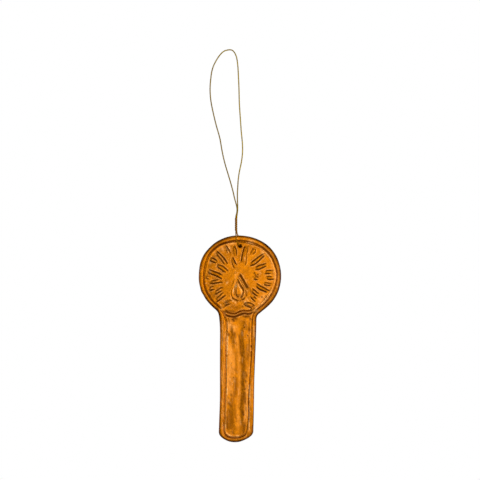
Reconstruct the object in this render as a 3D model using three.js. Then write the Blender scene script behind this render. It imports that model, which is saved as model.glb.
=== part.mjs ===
// Embossed tin candle ornament on a wire hanging loop.
//
// Frame: millimetres, +Z up, +X to the viewer's right, the embossed front faces -Y.
// Origin: the underside of the wire at the top of the hanging loop, where a hook or
// a twig carries the ornament.
//
// Two pieces: one sheet of tin plate cut and embossed as a candle in a round glow, and
// one wire that goes through the punched hole and makes the hanging loop.

import * as THREE from 'three';
import { mergeVertices } from 'three/addons/utils/BufferGeometryUtils.js';

// ---------------------------------------------------------------- driving dimensions
const SHEET = 0.30;            // gauge of the tin plate
const BORDER_HEIGHT = 0.95;    // raised border above the field
const RAY_HEIGHT = 0.42;       // raised ridge of a ray
const RAY_MARGIN = -0.06;      // pressed line along each side of a ray
const FLAME_HEIGHT = 0.42;
const TOP_HEIGHT = 0.55;       // raised outline of the candle's top
const GROOVE_DEPTH = -0.10;    // pressed line inside the border
const HOLE_CENTRE = [4.96, -96.07];
const HOLE_RADIUS = 0.93;
const RIM_COUNT = 180;         // points round the outline
const BORDER_STEPS = [         // [share of the way from edge to groove, height]
  [0.00, 0.08], [0.20, 0.60], [0.48, BORDER_HEIGHT], [0.78, 0.52], [1.00, GROOVE_DEPTH], [1.24, 0],
];
const WIRE_DIAMETER = 0.55;
const WIRE_SIDES = 8;
const STRAND_OFFSET = 0.30;    // twisted strands, from the axis of the twist
const TUCK_OFFSET = 0.53;      // the tucked end lies in the groove between them
const TWIST_AXIS_X = 3.05;
const TWIST_TOP_Z = -82.34;
const TWIST_BOTTOM_Z = -88.80;
const TUCK_END_Z = -85.44;
const TWIST_PER_MM = THREE.MathUtils.degToRad(52.3);
const PIVOT = [4.76, 0, -95.66];   // where the eye of the wire passes through the hole

// ---------------------------------------------------------------- drawn lines, [x, z]
const OUTLINE = [
  [-7.76, -126.71], [-9.29, -125.23], [-10.71, -123.66], [-11.99, -121.99], [-13.02, -120.17], [-14.10, -118.31],
  [-14.64, -116.24], [-15.08, -114.18], [-15.28, -112.02], [-15.23, -109.90], [-15.08, -107.79], [-14.79, -105.63],
  [-14.25, -103.52], [-13.41, -101.50], [-12.28, -99.59], [-10.91, -97.87], [-9.38, -96.30], [-7.76, -94.87],
  [-5.95, -93.64], [-3.98, -92.66], [-1.97, -91.87], [0.15, -91.33], [2.26, -91.02], [4.47, -90.94],
  [6.53, -91.07], [8.65, -91.35], [10.71, -91.80], [12.72, -92.46], [14.64, -93.32], [16.56, -94.33],
  [18.32, -95.61], [19.90, -97.08], [21.27, -98.72], [22.46, -100.49], [23.41, -102.39], [24.12, -104.40],
  [24.66, -106.47], [25.02, -108.55], [25.14, -110.64], [25.06, -112.74], [24.75, -114.81], [24.27, -116.83],
  [23.58, -118.80], [22.68, -120.66], [21.57, -122.41], [20.27, -124.05], [18.85, -125.50], [17.49, -126.71],
  [16.16, -127.79], [14.94, -128.80], [13.96, -129.60], [13.27, -130.54], [12.99, -131.90], [12.97, -133.68],
  [12.92, -135.89], [12.82, -139.58], [12.68, -143.51], [12.53, -147.19], [12.38, -150.63], [12.21, -155.30],
  [12.05, -159.23], [11.94, -163.16], [11.88, -167.09], [11.83, -171.02], [11.77, -174.95], [11.69, -178.88],
  [11.60, -182.81], [11.50, -185.76], [11.27, -187.58], [10.65, -188.96], [9.18, -190.21], [7.70, -191.07],
  [6.19, -191.75], [4.72, -192.22], [3.24, -192.44], [1.77, -192.44], [0.29, -192.25], [-1.18, -191.80],
  [-2.65, -191.10], [-4.05, -190.10], [-4.96, -188.81], [-5.33, -187.23], [-5.31, -184.78], [-5.21, -180.85],
  [-5.06, -176.92], [-4.93, -172.99], [-4.87, -169.06], [-4.86, -165.13], [-4.87, -161.20], [-4.89, -157.26],
  [-4.89, -153.34], [-4.87, -149.40], [-4.86, -145.47], [-4.84, -141.54], [-4.84, -137.61], [-5.00, -133.88],
  [-5.22, -131.57], [-5.48, -129.88], [-5.95, -128.56], [-6.73, -127.59],
];
const GROOVE = [
  [-5.06, -126.02], [-6.19, -124.99], [-7.57, -123.86], [-8.82, -122.63], [-9.83, -121.38], [-10.66, -120.07],
  [-11.40, -118.70], [-12.02, -117.32], [-12.48, -115.75], [-12.77, -114.03], [-12.87, -112.27], [-12.80, -110.43],
  [-12.58, -108.45], [-12.22, -106.45], [-11.74, -104.42], [-11.13, -102.50], [-10.30, -100.77], [-9.20, -99.15],
  [-7.74, -97.62], [-6.14, -96.36], [-4.22, -95.33], [-2.11, -94.58], [0.05, -94.02], [2.01, -93.72],
  [3.98, -93.64], [5.31, -93.71], [6.66, -93.89], [8.26, -94.18], [9.97, -94.58], [11.80, -95.10],
  [13.48, -95.68], [14.76, -96.28], [15.92, -96.98], [17.17, -97.97], [18.38, -99.16], [19.48, -100.47],
  [20.32, -101.75], [20.98, -103.08], [21.57, -104.55], [22.11, -106.17], [22.53, -107.79], [22.79, -109.58],
  [22.84, -111.23], [22.65, -113.03], [22.26, -114.84], [21.71, -116.60], [20.98, -118.22], [20.14, -119.66],
  [19.19, -121.09], [18.23, -122.48], [17.20, -123.71], [16.11, -124.72], [14.98, -125.61], [13.82, -126.49],
  [12.77, -127.36], [11.80, -128.50], [11.13, -130.29], [10.76, -132.95], [10.60, -136.38], [10.60, -140.07],
  [10.59, -143.75], [10.55, -147.69], [10.42, -151.62], [10.15, -155.55], [9.87, -159.48], [9.58, -163.41],
  [9.34, -167.34], [9.20, -171.27], [9.16, -175.20], [9.12, -179.13], [8.99, -182.08], [8.81, -184.53],
  [8.58, -186.50], [8.10, -188.00], [7.11, -189.05], [5.72, -189.69], [4.08, -190.10], [2.26, -190.23],
  [0.43, -190.08], [-1.22, -189.57], [-2.28, -188.66], [-2.76, -187.23], [-2.85, -185.02], [-2.80, -181.58],
  [-2.70, -178.15], [-2.58, -174.71], [-2.46, -170.78], [-2.36, -166.84], [-2.26, -162.91], [-2.16, -158.99],
  [-2.07, -155.05], [-1.97, -151.12], [-1.87, -147.69], [-1.75, -144.25], [-1.63, -140.31], [-1.60, -137.37],
  [-1.82, -134.42], [-2.26, -131.76], [-2.89, -129.62], [-3.80, -127.74],
];
// the same place round the piece on both lines, as indices of points
const TIES = [[0, 0], [12, 14], [23, 24], [38, 42], [50, 55], [54, 58], [66, 70], [69, 73], [75, 77], [80, 81], [90, 91], [96, 97]];

const RAYS = [
  { half: 0.56, line: [[-2.26, -95.80], [-1.72, -97.18], [-1.23, -98.56], [-0.64, -99.83], [-0.25, -100.62]] },
  { half: 0.86, line: [[1.77, -95.51], [1.97, -96.83], [2.21, -98.26], [2.41, -99.64], [2.51, -100.61]] },
  { half: 0.79, line: [[1.18, -101.71], [1.38, -102.88], [1.72, -104.25], [2.16, -105.63], [2.51, -106.81]] },
  { half: 1.03, line: [[7.86, -96.60], [7.57, -98.31], [7.17, -100.32], [6.83, -102.24], [6.53, -104.20], [6.39, -105.83]] },
  { half: 0.93, line: [[12.33, -97.10], [11.79, -97.97], [11.10, -98.95], [10.37, -100.08]] },
  { half: 0.71, line: [[17.05, -99.83], [15.57, -100.91], [14.10, -101.99], [12.63, -103.17], [11.15, -104.40], [9.78, -105.24]] },
  { half: 0.74, line: [[18.18, -104.89], [16.75, -105.53], [15.33, -106.07], [13.81, -106.66], [12.33, -107.20]] },
  { half: 0.64, line: [[20.60, -108.60], [19.45, -108.72], [18.13, -108.92], [17.05, -109.17]] },
  { half: 0.64, line: [[20.90, -111.92], [19.90, -111.77], [18.82, -111.72], [17.54, -111.87]] },
  { half: 0.64, line: [[20.30, -115.00], [19.36, -114.92], [18.03, -114.67], [16.66, -114.38]] },
  { half: 0.76, line: [[19.30, -118.60], [18.03, -118.21], [16.66, -117.52], [15.33, -116.78], [13.95, -116.05], [12.68, -115.36]] },
  { half: 0.74, line: [[13.90, -119.97], [12.92, -119.29], [11.84, -118.40], [10.86, -117.42]] },
  { half: 0.64, line: [[13.02, -123.32], [12.04, -122.38], [11.10, -121.45], [10.17, -120.56]] },
  { half: 0.59, line: [[14.39, -112.31], [13.31, -111.92], [12.13, -111.62], [11.05, -111.18]] },
  { half: 0.71, line: [[-6.53, -99.19], [-4.96, -100.86], [-3.49, -102.48], [-2.31, -104.11], [-1.67, -105.04]] },
  { half: 0.64, line: [[-9.70, -102.40], [-8.60, -102.78], [-7.42, -103.32], [-6.44, -103.96]] },
  { half: 0.66, line: [[-6.24, -105.53], [-4.96, -106.27], [-3.59, -107.25], [-2.26, -108.23], [-1.33, -108.87]] },
  { half: 0.74, line: [[-10.66, -108.33], [-9.19, -108.92], [-7.62, -109.51], [-6.04, -110.20], [-4.67, -110.98], [-3.78, -111.52]] },
  { half: 0.49, line: [[-11.20, -111.43], [-10.37, -111.67], [-8.99, -111.72], [-8.11, -111.62]] },
  { half: 0.71, line: [[-9.78, -113.78], [-8.11, -113.64], [-6.44, -113.39], [-4.86, -113.30], [-3.69, -113.35]] },
  { half: 0.64, line: [[-10.20, -117.17], [-9.29, -116.88], [-8.01, -116.54]] },
  { half: 0.71, line: [[-7.52, -119.04], [-6.19, -118.40], [-4.86, -117.72], [-3.59, -116.93]] },
  { half: 0.71, line: [[-7.10, -123.02], [-6.14, -122.23], [-4.86, -121.16], [-3.59, -120.12], [-2.31, -119.19], [-1.62, -118.55]] },
];
const DROP = [
  [3.49, -114.08], [4.27, -115.26], [5.06, -116.44], [5.75, -117.62], [5.99, -118.80], [5.70, -119.88],
  [4.91, -120.61], [3.78, -120.76], [2.90, -120.27], [2.41, -119.19], [2.31, -117.91], [2.60, -116.44],
  [3.10, -115.16],
];
const FLAME_RIGHT = [
  [3.78, -109.86], [4.57, -111.13], [5.36, -112.51], [6.09, -113.88], [6.83, -115.26], [7.52, -116.64],
  [7.96, -118.11], [7.86, -119.58], [7.22, -120.96], [6.04, -121.84], [4.67, -122.14],
];
const FLAME_LEFT = [
  [2.90, -111.92], [2.21, -113.59], [1.62, -115.26], [1.13, -116.93], [0.93, -118.60],
  [1.13, -120.17], [1.92, -121.45], [3.19, -122.14],
];
const ARC_LEFT = [[-3.10, -125.18], [-1.97, -124.50], [-0.74, -124.05], [0.54, -123.91], [1.62, -124.05]];
const ARC_RIGHT = [[7.03, -124.40], [8.21, -124.50], [9.38, -124.89], [10.46, -125.58], [11.45, -126.46]];
const BAND = [
  [-3.19, -127.54], [-2.21, -128.82], [-0.83, -129.60], [0.83, -129.95], [2.51, -129.90],
  [3.98, -129.31], [5.26, -128.67], [6.93, -128.57], [8.70, -128.67], [10.17, -128.43], [11.55, -127.84],
];
// [x, z, half depth] of the hanging loop, from the twist up the right side, over the top,
// and down the left side
const LOOP = [
  [3.69, -72.76], [3.69, -69.81], [3.88, -66.87], [4.05, -63.92], [4.42, -60.97], [4.98, -58.02],
  [5.60, -55.08], [6.04, -52.13], [6.22, -49.18], [6.16, -46.23], [5.93, -43.28], [5.62, -40.34],
  [5.40, -37.39], [5.20, -34.44], [4.99, -31.49], [4.80, -28.55], [4.62, -25.60], [4.48, -19.70],
  [4.38, -16.75], [4.24, -13.81], [4.10, -10.86], [3.92, -7.91], [3.60, -5.20], [3.14, -3.00], [2.28, -1.13],
  [1.28, -0.03], [0.29, 0.27], [-0.69, 0.24], [-1.67, 0.07], [-2.65, -0.29], [-3.64, -0.95], [-4.62, -1.94],
  [-5.60, -3.20], [-6.70, -4.96], [-8.17, -7.91], [-8.99, -10.86], [-9.38, -13.81], [-9.66, -16.75],
  [-9.74, -19.70], [-9.58, -22.65], [-9.22, -25.60], [-8.66, -28.55], [-8.01, -31.49], [-7.32, -34.44],
  [-6.56, -37.39], [-5.70, -40.34], [-4.92, -43.28], [-4.38, -46.23], [-3.89, -49.18], [-3.29, -52.13],
  [-2.57, -55.08], [-1.74, -58.02], [-0.84, -60.97], [0.05, -63.92], [0.88, -66.87], [1.64, -69.81],
  [2.31, -72.76],
];
// eye of the wire: [x, y, z], front leg over the border, through the hole, back leg up
const EYE = [
  [2.93, -0.74, -89.35], [2.97, -1.30, -90.00], [3.00, -1.60, -90.90], [3.04, -1.68, -91.90], [3.16, -1.60, -92.85],
  [3.42, -1.38, -93.75], [3.84, -1.05, -94.60], [4.28, -0.72, -95.20], [4.58, -0.37, -95.57], PIVOT,
  [4.86, 0.37, -95.57], [4.93, 0.66, -95.10], [4.92, 0.76, -94.40], [4.82, 0.77, -93.50], [4.67, 0.75, -92.55],
  [4.46, 0.71, -91.65], [4.16, 0.65, -90.85], [3.76, 0.55, -90.05],
];

// ---------------------------------------------------------------- small geometry helpers
function resampleBetween(points, i0, i1, count) {
  // count points from points[i0] up to, not including, points[i1], evenly along the line
  const n = points.length;
  const run = [];
  for (let i = i0; ; i = (i + 1) % n) { run.push(points[i]); if (i === i1 % n && run.length > 1) break; }
  const curve = new THREE.CatmullRomCurve3(run.map(([x, z]) => new THREE.Vector3(x, 0, z)), false, 'centripetal');
  const out = [];
  for (let k = 0; k < count; k += 1) { const p = curve.getPointAt(k / count); out.push([p.x, p.z]); }
  return out;
}

function length(points, i0, i1) {
  let total = 0;
  const n = points.length;
  for (let i = i0; i !== i1 % n; i = (i + 1) % n) {
    const a = points[i], b = points[(i + 1) % n];
    total += Math.hypot(a[0] - b[0], a[1] - b[1]);
  }
  return total;
}

function matchedLines() {
  const edge = [], groove = [];
  const parts = TIES.map((tie, k) => {
    const next = TIES[(k + 1) % TIES.length];
    return { tie, next, share: length(OUTLINE, tie[0], next[0]) };
  });
  const whole = parts.reduce((sum, part) => sum + part.share, 0);
  for (const { tie, next, share } of parts) {
    const count = Math.max(2, Math.round(RIM_COUNT * share / whole));
    edge.push(...resampleBetween(OUTLINE, tie[0], next[0], count));
    groove.push(...resampleBetween(GROOVE, tie[1], next[1], count));
  }
  return { edge, groove };
}

function inside(point, polygon) {
  let hit = false;
  for (let i = 0, j = polygon.length - 1; i < polygon.length; j = i, i += 1) {
    const [xi, zi] = polygon[i], [xj, zj] = polygon[j];
    if ((zi > point[1]) !== (zj > point[1]) && point[0] < (xj - xi) * (point[1] - zi) / (zj - zi) + xi) hit = !hit;
  }
  return hit;
}

function distanceToPolygon([px, pz], polygon) {
  let best = Infinity;
  for (let i = 0, j = polygon.length - 1; i < polygon.length; j = i, i += 1) {
    const [ax, az] = polygon[j], [bx, bz] = polygon[i];
    const dx = bx - ax, dz = bz - az;
    const t = Math.min(1, Math.max(0, ((px - ax) * dx + (pz - az) * dz) / (dx * dx + dz * dz)));
    best = Math.min(best, Math.hypot(px - ax - t * dx, pz - az - t * dz));
  }
  return best;
}

// Delaunay triangulation (Bowyer-Watson), counter-clockwise triangles of indices
function triangulate(points) {
  const n = points.length;
  const all = points.concat([[-1000, -1000], [1000, -1000], [0, 1500]]);
  const circle = (a, b, c) => {
    const [ax, ay] = all[a], [bx, by] = all[b], [cx, cy] = all[c];
    const d = 2 * (ax * (by - cy) + bx * (cy - ay) + cx * (ay - by));
    const x = ((ax * ax + ay * ay) * (by - cy) + (bx * bx + by * by) * (cy - ay) + (cx * cx + cy * cy) * (ay - by)) / d;
    const y = ((ax * ax + ay * ay) * (cx - bx) + (bx * bx + by * by) * (ax - cx) + (cx * cx + cy * cy) * (bx - ax)) / d;
    return { a, b, c, x, y, r2: (ax - x) ** 2 + (ay - y) ** 2 };
  };
  let triangles = [circle(n, n + 1, n + 2)];
  for (let i = 0; i < n; i += 1) {
    const [px, py] = all[i];
    const edges = new Map();
    const kept = [];
    for (const t of triangles) {
      if ((px - t.x) ** 2 + (py - t.y) ** 2 < t.r2) {
        for (const [u, v] of [[t.a, t.b], [t.b, t.c], [t.c, t.a]]) {
          const back = `${v},${u}`;
          if (edges.has(back)) edges.delete(back); else edges.set(`${u},${v}`, [u, v]);
        }
      } else kept.push(t);
    }
    for (const [u, v] of edges.values()) kept.push(circle(u, v, i));
    triangles = kept;
  }
  return triangles.filter((t) => t.a < n && t.b < n && t.c < n).map((t) => [t.a, t.b, t.c]);
}

// ---------------------------------------------------------------- the embossed sheet
function embossedSheet() {
  const { edge, groove } = matchedLines();
  const count = edge.length;
  const points = [], heights = [], triangles = [];
  for (const [share, height] of BORDER_STEPS) {
    for (let i = 0; i < count; i += 1) {
      points.push([
        edge[i][0] + (groove[i][0] - edge[i][0]) * share,
        edge[i][1] + (groove[i][1] - edge[i][1]) * share,
      ]);
      heights.push(height);
    }
  }
  const orientation = Math.sign(edge.reduce((sum, [x, z], i) => {
    const [x2, z2] = edge[(i + 1) % count];
    return sum + x * z2 - x2 * z;
  }, 0));
  for (let ring = 0; ring + 1 < BORDER_STEPS.length; ring += 1) {
    for (let i = 0; i < count; i += 1) {
      const a = ring * count + i, b = ring * count + (i + 1) % count;
      const c = a + count, d = b + count;
      if (orientation > 0) triangles.push([a, b, d], [a, d, c]); else triangles.push([b, a, d], [d, a, c]);
    }
  }

  // inside the border: the field of the glow, the candle's top and the candle's panel
  const base = (BORDER_STEPS.length - 1) * count;
  const boundary = points.slice(base);
  const inner = boundary.map((p, i) => ({ p, h: 0, id: base + i }));
  const add = (p, h, clear, fromBoundary = 0.72) => {
    if (!inside(p, boundary) || distanceToPolygon(p, boundary) < fromBoundary) return;
    if (Math.hypot(p[0] - HOLE_CENTRE[0], p[1] - HOLE_CENTRE[1]) < HOLE_RADIUS + 0.5) return;
    for (const q of inner) if (Math.hypot(p[0] - q.p[0], p[1] - q.p[1]) < clear) return;
    inner.push({ p, h, id: -1 });
  };
  const hole = [];
  for (let k = 0; k < 20; k += 1) {
    const angle = k * Math.PI / 10;
    const p = [HOLE_CENTRE[0] + HOLE_RADIUS * Math.cos(angle), HOLE_CENTRE[1] + HOLE_RADIUS * Math.sin(angle)];
    hole.push(p);
    inner.push({ p, h: 0, id: -1, hole: k });
  }
  const along = (line, spacing, closed = false) => {
    const curve = new THREE.CatmullRomCurve3(line.map(([x, z]) => new THREE.Vector3(x, 0, z)), closed, 'centripetal');
    const steps = Math.max(2, Math.round(curve.getLength() / spacing));
    const out = [];
    for (let k = 0; k <= steps - (closed ? 1 : 0); k += 1) {
      const p = curve.getPointAt(k / steps), t = curve.getTangentAt(Math.min(k / steps, 1));
      out.push({ p: [p.x, p.z], n: [-t.z, t.x], end: Math.min(k, steps - k) / steps });
    }
    return out;
  };
  const ridge = (line, spacing, height, half, margin, closed = false) => {
    const run = along(line, spacing, closed);
    run.forEach(({ p, end }) => add(p, closed || end > 0 ? height : height * 0.4, 0.42));
    for (const side of [-1, 1]) {
      run.forEach(({ p, n }) => add([p[0] + side * n[0] * half, p[1] + side * n[1] * half], margin, 0.42));
    }
  };
  ridge(BAND, 1.3, TOP_HEIGHT, 0.85, GROOVE_DEPTH);
  ridge(ARC_LEFT, 1.3, TOP_HEIGHT * 0.7, 0.7, -0.04);
  ridge(ARC_RIGHT, 1.3, TOP_HEIGHT * 0.8, 0.75, -0.06);
  ridge(DROP, 1.25, FLAME_HEIGHT, 0.7, -0.04, true);
  ridge(FLAME_RIGHT, 1.4, FLAME_HEIGHT, 0.85, -0.06);
  ridge(FLAME_LEFT, 1.4, FLAME_HEIGHT * 0.6, 0.7, -0.02);
  for (const ray of RAYS) ridge(ray.line, 1.5, RAY_HEIGHT, ray.half, RAY_MARGIN);
  const step = 2.5;
  for (let row = 0, z = -95; z > -190; row += 1, z -= step * 0.866) {
    const lower = z < -133;
    for (let x = -16 + (row % 2) * step / 2; x < 26; x += step) {
      if (lower && (x < 9.5 - 2.5 && x > -0.5 && z > -186)) continue;   // flat panel of the candle
      add([x, z], 0, 1.05, 1.0);
    }
  }
  for (let z = -137; z > -186; z -= 6) for (const x of [0.3, 6.6]) add([x, z], 0, 1.5, 1.0);

  for (const item of inner) {
    if (item.id < 0) { item.id = points.length; points.push(item.p); heights.push(item.h); }
  }
  const boundaryIds = new Set(boundary.map((_, i) => base + i));
  for (const [a, b, c] of triangulate(inner.map((item) => item.p))) {
    const [A, B, C] = [inner[a], inner[b], inner[c]];
    const centre = [(A.p[0] + B.p[0] + C.p[0]) / 3, (A.p[1] + B.p[1] + C.p[1]) / 3];
    if (A.hole !== undefined && B.hole !== undefined && C.hole !== undefined) continue;
    if (boundaryIds.has(A.id) && boundaryIds.has(B.id) && boundaryIds.has(C.id) && !inside(centre, boundary)) continue;
    if (!inside(centre, boundary)) continue;
    triangles.push([A.id, B.id, C.id]);
  }

  // front faces -Y, back is the same relief one gauge behind it
  const n = points.length;
  const position = new Float32Array(n * 6);
  points.forEach(([x, z], i) => {
    const h = heights[i];
    position.set([x, -h - SHEET / 2, z], i * 3);
    position.set([x, -h + SHEET / 2, z], (n + i) * 3);
  });
  const index = [];
  const used = new Map();
  for (const [a, b, c] of triangles) {
    index.push(a, b, c, n + a, n + c, n + b);
    for (const [u, v] of [[a, b], [b, c], [c, a]]) {
      const key = `${u},${v}`, back = `${v},${u}`;
      if (used.has(back)) used.delete(back); else used.set(key, [u, v]);
    }
  }
  for (const [u, v] of used.values()) index.push(v, u, n + u, v, n + u, n + v);   // cut edges
  const geometry = new THREE.BufferGeometry();
  geometry.setAttribute('position', new THREE.BufferAttribute(position, 3));
  geometry.setIndex(index);
  return geometry;
}

// ---------------------------------------------------------------- the wire
class SampledPath extends THREE.Curve {
  constructor(points) { super(); this.points = points; }

  getPoint(t, target = new THREE.Vector3()) {
    const f = t * (this.points.length - 1);
    const i = Math.min(Math.floor(f), this.points.length - 2);
    return target.lerpVectors(this.points[i], this.points[i + 1], f - i);
  }

  getPointAt(u, target) { return this.getPoint(u, target); }

  getTangentAt(u, target = new THREE.Vector3()) {
    const last = this.points.length - 1;
    const i = Math.round(u * last);
    return target.subVectors(this.points[Math.min(i + 1, last)], this.points[Math.max(i - 1, 0)]).normalize();
  }

  getTangent(t, target) { return this.getTangentAt(t, target); }

  getSpacedPoints(divisions = this.points.length - 1) {
    const out = [];
    for (let k = 0; k <= divisions; k += 1) out.push(this.getPoint(k / divisions));
    return out;
  }
}

function strand(radius, turn, z0, z1, step) {
  // one strand of the twist from z0 to z1; turn is its angle at the twist's top
  const out = [];
  const steps = Math.max(2, Math.round(Math.abs(z1 - z0) / step));
  for (let k = 0; k <= steps; k += 1) {
    const z = z0 + (z1 - z0) * k / steps;
    const angle = turn + (TWIST_TOP_Z - z) * TWIST_PER_MM;
    out.push(new THREE.Vector3(TWIST_AXIS_X - radius * Math.cos(angle), -radius * Math.sin(angle), z));
  }
  return out;
}

function smooth(points, spacing) {
  const curve = new THREE.CatmullRomCurve3(points, false, 'centripetal');
  const steps = Math.max(2, Math.round(curve.getLength() / spacing));
  return Array.from({ length: steps + 1 }, (_, k) => curve.getPointAt(k / steps));
}

function wirePath() {
  const first = THREE.MathUtils.degToRad(45);
  const down = strand(STRAND_OFFSET, first, TWIST_TOP_Z, TWIST_BOTTOM_Z, 0.42);
  const up = strand(STRAND_OFFSET, first + Math.PI, TWIST_BOTTOM_Z, TWIST_TOP_Z, 0.42);
  const tuck = strand(TUCK_OFFSET, first - Math.PI / 2, TWIST_TOP_Z, TUCK_END_Z, 0.42);
  const eye = smooth([down[down.length - 2], down[down.length - 1], ...EYE.map((p) => new THREE.Vector3(...p)), up[0], up[1]], 0.27);
  const rightJoin = [[3.36, 0.12, -81.20], [3.72, -0.20, -79.90], [3.88, -0.27, -78.20], [3.84, -0.24, -76.60], [3.74, -0.12, -74.70]];
  const leftJoin = [[2.80, 0.12, -74.70], [3.16, 0.28, -76.60], [3.34, 0.31, -78.20], [3.18, 0.42, -79.90], [2.80, 0.50, -81.20]];
  const loop = smooth([
    up[up.length - 2], up[up.length - 1],
    ...rightJoin.map((p) => new THREE.Vector3(...p)),
    ...LOOP.map(([x, z]) => new THREE.Vector3(x, 0, z)),
    ...leftJoin.map((p) => new THREE.Vector3(...p)),
    tuck[0], tuck[1],
  ], 0.5);
  // thin the long strands where they are nearly straight
  const thinned = [];
  let last = null;
  loop.forEach((p, k) => {
    const wanted = p.z > -4 ? 0.7 : p.z > -10 ? 1.4 : (p.z > -73 ? 2.6 : 0.8);
    if (last === null || k === loop.length - 1 || p.distanceTo(last) >= wanted) { thinned.push(p); last = p; }
  });
  const whole = [...down.slice(0, -2), ...eye, ...up.slice(2, -2), ...thinned, ...tuck.slice(2)];
  const out = [];
  for (const p of whole) if (!out.length || p.distanceTo(out[out.length - 1]) > 0.12) out.push(p);
  return out;
}

function wireGeometry() {
  const points = wirePath();
  const section = new THREE.Shape();
  for (let k = 0; k < WIRE_SIDES; k += 1) {
    const angle = (k + 0.5) * 2 * Math.PI / WIRE_SIDES;
    const x = Math.cos(angle) * WIRE_DIAMETER / 2, y = Math.sin(angle) * WIRE_DIAMETER / 2;
    if (k === 0) section.moveTo(x, y); else section.lineTo(x, y);
  }
  section.closePath();
  let geometry = new THREE.ExtrudeGeometry(section, {
    steps: points.length - 1, bevelEnabled: false, extrudePath: new SampledPath(points),
  });
  geometry.deleteAttribute('normal');
  geometry.deleteAttribute('uv');
  geometry.clearGroups();
  geometry = mergeVertices(geometry, 1e-4);
  // faces point out of the wire
  const p = geometry.attributes.position, index = geometry.index;
  let volume = 0;
  const [a, b, c] = [new THREE.Vector3(), new THREE.Vector3(), new THREE.Vector3()];
  for (let i = 0; i < index.count; i += 3) {
    a.fromBufferAttribute(p, index.getX(i));
    b.fromBufferAttribute(p, index.getX(i + 1));
    c.fromBufferAttribute(p, index.getX(i + 2));
    volume += a.dot(b.cross(c)) / 6;
  }
  if (volume < 0) {
    for (let i = 0; i < index.count; i += 3) {
      const keep = index.getX(i);
      index.setX(i, index.getX(i + 1));
      index.setX(i + 1, keep);
    }
  }
  return geometry;
}

// ---------------------------------------------------------------- assembly
const amberTin = new THREE.MeshStandardMaterial({ color: 0xc07010, roughness: 0.32, metalness: 0.85 });
const agedBrass = new THREE.MeshStandardMaterial({ color: 0x8a6a30, roughness: 0.4, metalness: 0.95 });

const ornament = new THREE.Group();

const body = new THREE.Mesh(embossedSheet(), amberTin);
body.name = 'embossed_tin_body';
ornament.add(body);

const wire = new THREE.Mesh(wireGeometry(), agedBrass);
wire.name = 'hanger_wire';
ornament.add(wire);

export default ornament;
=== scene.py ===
# Embossed tin candle ornament on a wire hanging loop.
#
# Metres, +Z up, +X to the viewer's right, the embossed front faces -Y. The lines below are in
# millimetres, [x, z] seen from the front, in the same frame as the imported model.

import math

import bpy
import numpy as np
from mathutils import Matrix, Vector, kdtree
from mathutils.geometry import delaunay_2d_cdt


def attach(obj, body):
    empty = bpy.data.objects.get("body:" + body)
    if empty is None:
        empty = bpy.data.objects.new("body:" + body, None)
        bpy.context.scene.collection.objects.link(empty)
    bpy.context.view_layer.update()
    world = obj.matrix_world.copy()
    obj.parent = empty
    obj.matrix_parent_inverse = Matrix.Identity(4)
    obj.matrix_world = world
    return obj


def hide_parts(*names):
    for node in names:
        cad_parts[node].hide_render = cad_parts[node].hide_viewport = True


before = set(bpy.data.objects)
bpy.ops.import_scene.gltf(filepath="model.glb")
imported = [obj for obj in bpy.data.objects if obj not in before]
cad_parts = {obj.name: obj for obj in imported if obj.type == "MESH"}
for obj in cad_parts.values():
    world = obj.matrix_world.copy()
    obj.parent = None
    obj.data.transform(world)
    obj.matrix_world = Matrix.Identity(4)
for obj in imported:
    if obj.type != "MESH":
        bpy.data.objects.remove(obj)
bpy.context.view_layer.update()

# ---------------------------------------------------------------- sizes, millimetres
SHEET = 0.30
HOLE_CENTRE = (4.96, -96.07)
HOLE_RADIUS = 0.93
WIRE_DIAMETER = 0.59
STRAND_OFFSET = 0.345
TWIST_AXIS_X = 3.05
TWIST_TOP_Z, TWIST_BOTTOM_Z, TUCK_END_Z = -82.34, -88.80, -88.50
TWIST_PER_MM = math.radians(114.55)

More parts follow.
